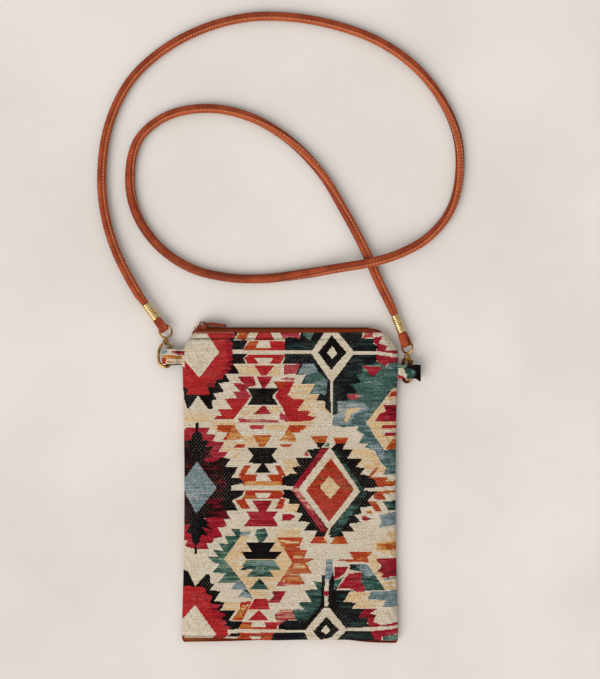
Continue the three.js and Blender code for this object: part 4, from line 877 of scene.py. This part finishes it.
for texture, low, high in ((streak.within(0.28, 0.74), 74, 186), (grain.within(0.34, 0.66), 84, 246)):
    paler = printed_and_shaded.node("Mix", {"data_type": "RGBA", "blend_type": "SOFT_LIGHT"}, {
        "Factor_Float": 0.75, "A_Color": paler, "B_Color": texture.mix(
            dye(low, low - 2, low - 4), dye(high, high - 2, high - 6))})
faded = (wash.within(0.5, 0.8) * light.within(0.03, 0.3) * 0.2).mix(paler, dye(186, 170, 150))
dots = floats.within(0.42, 0.85) * (1 - light.within(0.03, 0.24)) * slub.within(0.36, 0.58)
dots = dots * wash.within(0.42, 0.6)
flecked = (dots * 0.19).mix(faded, dye(226, 216, 200))
# Painted shade in the hollows between the ribs and the gaps between the threads; the fibre streaks darken
# it at random.
rib_hollow_shade = (1 - ribs.sums("ABSOLUTE", ribs)).within(0.7, 1.0)
gap_shade_and_fibre = ((1 - fine.within(-0.9, 0.2)) * 0.34 + fibre.within(0.45, 0.8) * 0.2).mix(flecked, dye(40, 30, 26))
woven = (rib_hollow_shade * 0.56 * slub.within(0.3, 0.6)).mix(gap_shade_and_fibre, dye(52, 38, 32))
kilim_cloth = seal(material, start, ribs.sums("ABSOLUTE", ribs) * 0.36 + floats * 0.16 + fine * 0.14
                   + fibre * 0.4 + slub * 0.25, 0.24,
                   Base_Color=woven, Roughness=0.86 + slub * 0.1, Specular_IOR_Level=0.06)

# The front and back are single cut panels, sewn together down the sides and along the bottom and
# turned, so that each rolls over to the seam. The mouth's edge is hemmed over the zip tape.
BAG_HALF, MOUTH = 75.0, 107.8
SHOULDER, SHOULDER_RUN = 93.8, 8.6
ROLL, SEAM, CROWN, SEAM_LIFT = 12.0, 5.0, 4.45, 0.18
HEM, HEM_FOLD, CLOTH = 7.0, 1.9, 1.2
SHOULDER_BOW, SIDE_EASE, WAIST = 1.4, 0.6, 1.7
CORNER_RADIUS, CORNER_RUN, FOOT_REACH = 3.2, 2.0, 18.0
CELLS_ACROSS, CELLS_UP = 250, 384
# Creases along the foot and the hem: depth, distance from the edge, and width
FOOT_CREASE, HEM_CREASE = (0.95, 4.2, 0.7), (1.1, 4.0, 0.65)
# How far the foot of the front (1) and of the back (-1) curls up along its width, in mm
FOOT_CURL = {1: ((-77, 2.4), (-42, 1.9), (-14, 0.5), (10, 0.9), (35, 0.9), (56, 0.6), (77, 0.2)),
             -1: ((-77, -0.7), (-42, -0.1), (-14, 0.9), (10, 1.4), (35, 1.2), (56, -0.9), (77, -1.5))}


def half_width(y):
    """The pouch narrows to the mouth, and its sides pull in a little between the corners."""
    slope = np.clip((y - SHOULDER) / (MOUTH - SHOULDER), 0, 1) ** SHOULDER_BOW
    corner = 1 - np.sqrt(1 - np.clip(1 - (y + MOUTH) / CORNER_RADIUS, 0, 1) ** 2 * 0.98)
    return (BAG_HALF + SIDE_EASE - slope * SHOULDER_RUN - CORNER_RUN * corner
            - WAIST * np.clip(1 - (y / SHOULDER) ** 2, 0, 1))


def rolled(distance, width=ROLL):
    """How high cloth stands at a distance from its seam, from 0 on the seam to 1."""
    return np.sqrt(np.clip(1 - (1 - np.clip(distance, 0, width) / width) ** 2, 0, 1))


def swell(x, y):
    return rolled(half_width(y) - np.abs(x)) * rolled(y + MOUTH)


def creases(x, y):
    """How deep, in mm, the cloth is drawn in along the stitched hem and along the foot."""
    deep, away, wide = FOOT_CREASE
    foot = deep * np.exp(-(((y + MOUTH - away - x / 80) / wide) ** 2)) * (0.75 - x / 190)
    deep, away, wide = HEM_CREASE
    hem = deep * np.exp(-(((MOUTH - y - away - 0.3 * np.sin(x / 21)) / wide) ** 2)) * (0.75 - x / 150)
    return foot + hem


def rumple(x, y):
    """Slack in the cloth: long low waves, puckers along the seams, and the folds over each hem."""
    beside = half_width(y) - np.abs(x)
    below = y + MOUTH
    waves = 0.16 * np.sin(x / 15 + y / 31 + 0.6) + 0.13 * np.sin(x / 9.5 - y / 17 + 2.1)
    sides = 0.32 * np.sin(y / 1.9 + np.sin(y / 7) + x) * np.exp(-(((beside - 4) / 4) ** 2))
    foot = 0.3 * np.sin(x / 2.3 + np.sin(x / 9)) * np.exp(-(((below - 4) / 3.5) ** 2))
    return waves + sides + foot - creases(x, y)


def panel_point(u, v, side, inset=0.0, hemmed=True, top=MOUTH):
    """A panel's point: v climbs the outside to the mouth, then turns in over the hem."""
    length = top + MOUTH + (HEM_FOLD + HEM if hemmed else 0)
    climb = 2 * inset + v * (length - 2 * inset)
    y = np.minimum(climb - MOUTH, top)
    past = np.clip(climb - MOUTH - top, 0, None)
    x = (2 * u - 1) * (half_width(y) - inset)
    height = swell(x, y)
    turn = np.clip(past / HEM_FOLD, 0, 1) * math.pi
    under = np.clip(past - HEM_FOLD, 0, None)
    depth = (1 - np.cos(turn)) * CLOTH / 2 * height
    y = y + np.sin(turn) * CLOTH / 2 * 0.6 - under
    curl = drawn_through([(*spot, 0) for spot in FOOT_CURL[side]])
    curl = np.interp(x, curl[:, 0], curl[:, 1]) * np.clip(1 - (y + MOUTH) / FOOT_REACH, 0, 1) ** 2
    z = SEAM_LIFT + CROWN * height + rumple(x, y) * height ** 0.5 - depth - inset * height
    return np.stack([x, y + curl, SEAM + side * np.maximum(z, 0.12)], axis=1)


for name, side in (("front", 1), ("back", -1)):
    bm = strip(CELLS_ACROSS, CELLS_UP, lambda u, v: panel_point(u if side > 0 else 1 - u, v, side))
    panel = piece(f"{name}_cloth", bm, kilim_cloth)
    print_on(panel, FRONT_EDGES if side > 0 else BACK_EDGES, creases)
    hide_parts(f"{name}_panel")
    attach(panel, "pouch")

# Inside is a plain undyed cotton lining, cut a little smaller than the panels and sewn in with the
# side seams. It ends just under the zip.
LINING_INSET, LINING_DROP, LINING_THREAD = 1.7, 3.2, 0.9
material, start, spot = finish_named("lining_cotton")
across, along = (start.node("SeparateXYZ", None, {"Vector": spot}, out=axis) for axis in "XY")
thread = across.sums("SINE", across * (2 * math.pi / (LINING_THREAD * MM))) * along.sums(
    "SINE", along * (2 * math.pi / (LINING_THREAD * MM)))
slub = noise(start, spot, 500.0, 3.0)
lining_cotton = seal(material, start, thread * 0.4 + slub * 0.4, 0.12, Base_Color=slub.within(
    0.3, 0.7).mix(dye(190, 176, 150), dye(214, 202, 178)), Roughness=0.88 + slub * 0.08)
for name, side in (("front", 1), ("back", -1)):
    bm = strip(60, 84, lambda u, v: panel_point(
        u if side > 0 else 1 - u, v, side, inset=LINING_INSET, hemmed=False, top=MOUTH - LINING_DROP))
    lining = piece(f"lining_{name}_cotton", bm, lining_cotton)
    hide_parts(f"lining_{name}")
    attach(lining, "pouch")

# The zip's two woven tapes are sewn behind the hems and bend over the mouth towards each other, so
# that from the front they show as a rust-brown band above the cloth.
TAPE_LEFT, TAPE_RIGHT = -68.3, 68.0
TAPE_START, TAPE_FACE, TAPE_BEND, TAPE_INNER, TAPE_TONGUE = 103.2, 111.0, 2.8, 0.75, 1.6
TAPE_WIDTH, TAPE_CLOTH = 11.0, 0.5
material, start, spot = finish_named("zip_tape_weave")
length, width = (start.node("SeparateXYZ", None, {"Vector": start.node("TexCoord", out="UV")}, out=axis)
                 for axis in "XY")
chevron = width.sums("PINGPONG", width * 14.0, 0.5)
twill = length.sums("SINE", (length * 230.0 + chevron) * 6.2832)
fuzz = noise(start, spot, 1400.0, 3.0)
zip_tape_weave = seal(material, start, twill * 0.3 + fuzz * 0.5, 0.1, Base_Color=(
    twill.within(-0.8, 0.9) * 0.5 + fuzz * 0.4).mix(dye(98, 34, 12), dye(152, 62, 26)),
    Roughness=0.75 + fuzz * 0.2, Specular_IOR_Level=0.15)


def tape_point(u, v, side):
    """A tape's point: v runs from behind the hem, over the bend and in to the coils."""
    x = TAPE_LEFT + (TAPE_RIGHT - TAPE_LEFT) * u
    stand = np.maximum(CROWN * rolled(half_width(np.full_like(x, MOUTH)) - np.abs(x) - 0.2) - 0.4, 0.06)
    inner = np.minimum(TAPE_INNER, stand)
    straight, bend = TAPE_FACE - TAPE_BEND - TAPE_START, math.pi / 2 * TAPE_BEND
    run = v * (straight + bend + TAPE_TONGUE)
    past = np.clip(run - straight, 0, bend) / TAPE_BEND
    flat = np.clip(run - straight - bend, 0, None) / TAPE_TONGUE
    bend_z = np.maximum(stand - TAPE_BEND, inner)
    y = TAPE_START + np.minimum(run, straight) + TAPE_BEND * np.sin(past)
    z = bend_z + (stand - bend_z) * np.cos(past) - (bend_z - inner) * flat
    z = np.maximum(z - 1.2 * np.clip((105.8 - y) / 1.2, 0, 1), 0.06)
    ends = np.clip(1 - (TAPE_RIGHT - x) / 11, 0, 1) ** 2 * 5.2
    ends = ends + np.clip(1 - (x - TAPE_LEFT) / 4, 0, 1) ** 2 * 2.4
    return np.stack([x, y - ends, SEAM + side * z], axis=1)


for name, side in (("front", 1), ("back", -1)):
    bm = strip(200, 18, lambda u, v: tape_point(u if side > 0 else 1 - u, v, side))
    tape = piece(f"zip_tape_{name}_woven", bm, zip_tape_weave)
    body = tape.modifiers.new("thickness", "SOLIDIFY")
    body.thickness, body.offset = TAPE_CLOTH * MM, -1
    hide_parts(f"zip_tape_{name}")
    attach(tape, "pouch")

# Each half of the zip is a moulded nylon coil sewn along its tape's edge. The loops of one half
# stand between those of the other.
COIL_LEFT, COIL_RIGHT, COIL_PITCH = -65.3, 55.7, 1.3
COIL_LOW, COIL_HIGH, COIL_IN, COIL_OUT = 110.5, 111.9, 0.4, 2.1
material, start, spot = finish_named("coil_nylon")
fuzz = noise(start, spot, 1500.0, 2.0)
coil_nylon = seal(material, start, fuzz, 0.03, Base_Color=fuzz.within(0.3, 0.7).mix(
    dye(70, 20, 8), dye(112, 38, 16)), Roughness=0.45 + fuzz * 0.15, Specular_IOR_Level=0.2)
for name, side in (("front", 1), ("back", -1)):
    bm = bmesh.new()
    for k in range(int((COIL_RIGHT - COIL_LEFT) / COIL_PITCH)):
        x = COIL_LEFT + COIL_PITCH * (k + (0.5 if side > 0 else 1.0))
        if x < COIL_RIGHT - 0.4:
            bmesh.ops.create_uvsphere(
                bm, u_segments=8, v_segments=6, radius=1.0,
                matrix=Matrix.Translation(Vector((x, (COIL_LOW + COIL_HIGH) / 2,
                                                  SEAM + side * (COIL_IN + COIL_OUT) / 2)) * MM)
                @ Matrix.Diagonal((0.48 * MM, (COIL_HIGH - COIL_LOW) / 2 * MM,
                                   (COIL_OUT - COIL_IN) / 2 * MM, 1)))
    coil = piece(f"zip_coil_{name}_loops", bm, coil_nylon)
    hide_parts(f"zip_coil_{name}")
    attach(coil, "pouch")

# The slider and its pull are die-cast and enamelled to match the tape. Their sharp edges are
# painted lighter, both as worn enamel and as a painted highlight.
# The stops are squeezed on in the same finish.
PULL_NECK, PULL_RUN, PULL_MIDDLE, PULL_CAST = -57.5, 13.0, 114.15, 1.1
PULL_TOP, PULL_TAPER, PULL_FOOT = 115.8, 1.9, 112.15
material, start, spot = finish_named("zip_enamel")
cloud = noise(start, spot, 420.0, 3.0)
# Worn enamel and painted highlight: the sharp edges, found by their pointiness, are lighter.
worn_edge_highlight = start.node("NewGeometry", out="Pointiness").within(0.53, 0.6) * cloud.within(0.35, 0.65)
zip_enamel = seal(material, start, cloud, 0.03, Base_Color=(worn_edge_highlight * 0.75).mix(
    cloud.within(0.3, 0.7).mix(dye(96, 32, 12), dye(134, 50, 22)), dye(212, 138, 98)),
    Roughness=0.36 + cloud * 0.15, Specular_IOR_Level=0.22)
for node, voxel in (("zip_slider", 0.12), ("zip_pull", 0.1)):
    enamelled = worked(f"{node}_enamelled", node, voxel, 3, zip_enamel)
    if node == "zip_pull":
        for vert in enamelled.data.vertices:
            past = min(max((vert.co.x / MM - PULL_NECK) / 3, 0), 1)
            top = PULL_TOP - PULL_TAPER * min(max((vert.co.x / MM - PULL_NECK) / PULL_RUN, 0), 1)
            share = (vert.co.y / MM - PULL_MIDDLE) / PULL_CAST
            thick = (top + PULL_FOOT) / 2 + share * (top - PULL_FOOT)
            vert.co.y += (thick * MM - vert.co.y) * past
for node in ("zip_top_stop_front", "zip_top_stop_back", "zip_bottom_stop"):
    frame["nodes"][node].material_slots[0].material = zip_enamel

# On each side a short tab of the same cloth is folded round the clasp's hook and caught in the side
# seam with both its ends.
TAB_CLOTH, TAB_LENGTH, TAB_LEAST = 1.1, 37.0, 10.0
# Each tab: side, middle and half width along y, flare at the fold, lower and upper face, and reach
TABS = {"left": (-1, 91.05, 5.65, 0.0, 1.3, 8.7, 14.7), "right": (1, 80.8, 4.8, 2.0, 3.45, 11.45, 16.4)}


def tab_point(u, v, sign, middle, half, flare, low, high, reach):
    """A tab's point: u goes out along the lower layer, round the fold and back over the top."""
    inset = TAB_CLOTH / 2
    fold = (high - low) / 2 - inset
    end = BAG_HALF + reach - inset - fold
    path = np.array([(BAG_HALF - 0.4, SEAM - 0.4), (BAG_HALF + 2.5, SEAM - 1.0),
                     (BAG_HALF + 5.0, low + inset)]
                    + [(end + fold * math.sin(a), (low + high) / 2 - fold * math.cos(a))
                       for a in np.linspace(0, math.pi, 13)]
                    + [(BAG_HALF + 5.0, high - inset), (BAG_HALF + 2.5, SEAM + 1.0),
                       (BAG_HALF - 0.4, SEAM + 0.4)])
    line, _ = evenly(np.column_stack([path, np.zeros(len(path))]), 0.25)
    at = u * (len(line) - 1)
    x, z = (np.interp(at, np.arange(len(line)), line[:, k]) for k in (0, 1))
    across = 2 * v - 1
    out = np.clip((x - end) / fold, 0, 1)
    droop = flare * out ** 1.5 * np.clip(0.5 - across, 0, 1)
    return np.stack([sign * x, middle + across * half - droop, z], axis=1)


for name, (sign, *shape) in TABS.items():
    bm = strip(64, 16, lambda u, v: tab_point(u if sign < 0 else 1 - u, v, sign, *shape))
    tab = piece(f"tab_{name}_cloth", bm, kilim_cloth)
    print_on(tab)
    body = tab.modifiers.new("thickness", "SOLIDIFY")
    body.thickness, body.offset = TAB_CLOTH * MM, 0
    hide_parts(f"tab_{name}")
    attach(tab, "pouch")

# The stage is a plain warm off-white table top with a faint mottle, under a soft sky and one large
# lamp low on the left, so that shadows fall up and to the right.
FLOOR_HALF = 16.0
HORIZON, ZENITH = (0.16, 0.156, 0.152), (0.66, 0.652, 0.64)
LAMP_PLACE, LAMP_SPREAD, LAMP_STRENGTH = (-0.8, -0.9, 1.1), 52, 2.0
material, start, spot = finish_named("table_top")
mottle = noise(start, spot, 8.0, 5.0)
table_top = seal(material, start, Base_Color=mottle.within(0.3, 0.7).mix(
    dye(222, 215, 209), dye(231, 225, 220)), Roughness=0.9)
bm = bmesh.new()
bmesh.ops.create_grid(bm, x_segments=1, y_segments=1, size=FLOOR_HALF)
floor = piece("floor", bm, table_top)
floor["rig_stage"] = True
sky = bpy.data.worlds.new("sky")
sky.use_nodes = True
start = Strand(sky.node_tree)
ray = start.node("TexCoord", out="Generated")
rise = start.node("SeparateXYZ", None, {"Vector": ray}, out="Z")
glow = sky.node_tree.nodes["Background"]
sky.node_tree.links.new(rise.within(0.0, 0.75).mix(HORIZON, ZENITH).socket, glow.inputs["Color"])
glow.inputs["Strength"].default_value = 1.0
bpy.context.scene.world = sky
lamp = bpy.data.objects.new("lamp", bpy.data.lights.new("lamp", "SUN"))
lamp.data.energy = LAMP_STRENGTH
lamp.data.angle = math.radians(LAMP_SPREAD)
lamp.data.color = (1.0, 0.98, 0.95)
lamp.location = LAMP_PLACE
aim = -lamp.location
lamp.rotation_euler = aim.to_track_quat("-Z", "Y").to_euler()
bpy.context.scene.collection.objects.link(lamp)
bpy.context.scene.view_settings.view_transform = "Standard"

# The box round everything shown, without the stage.
low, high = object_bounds()
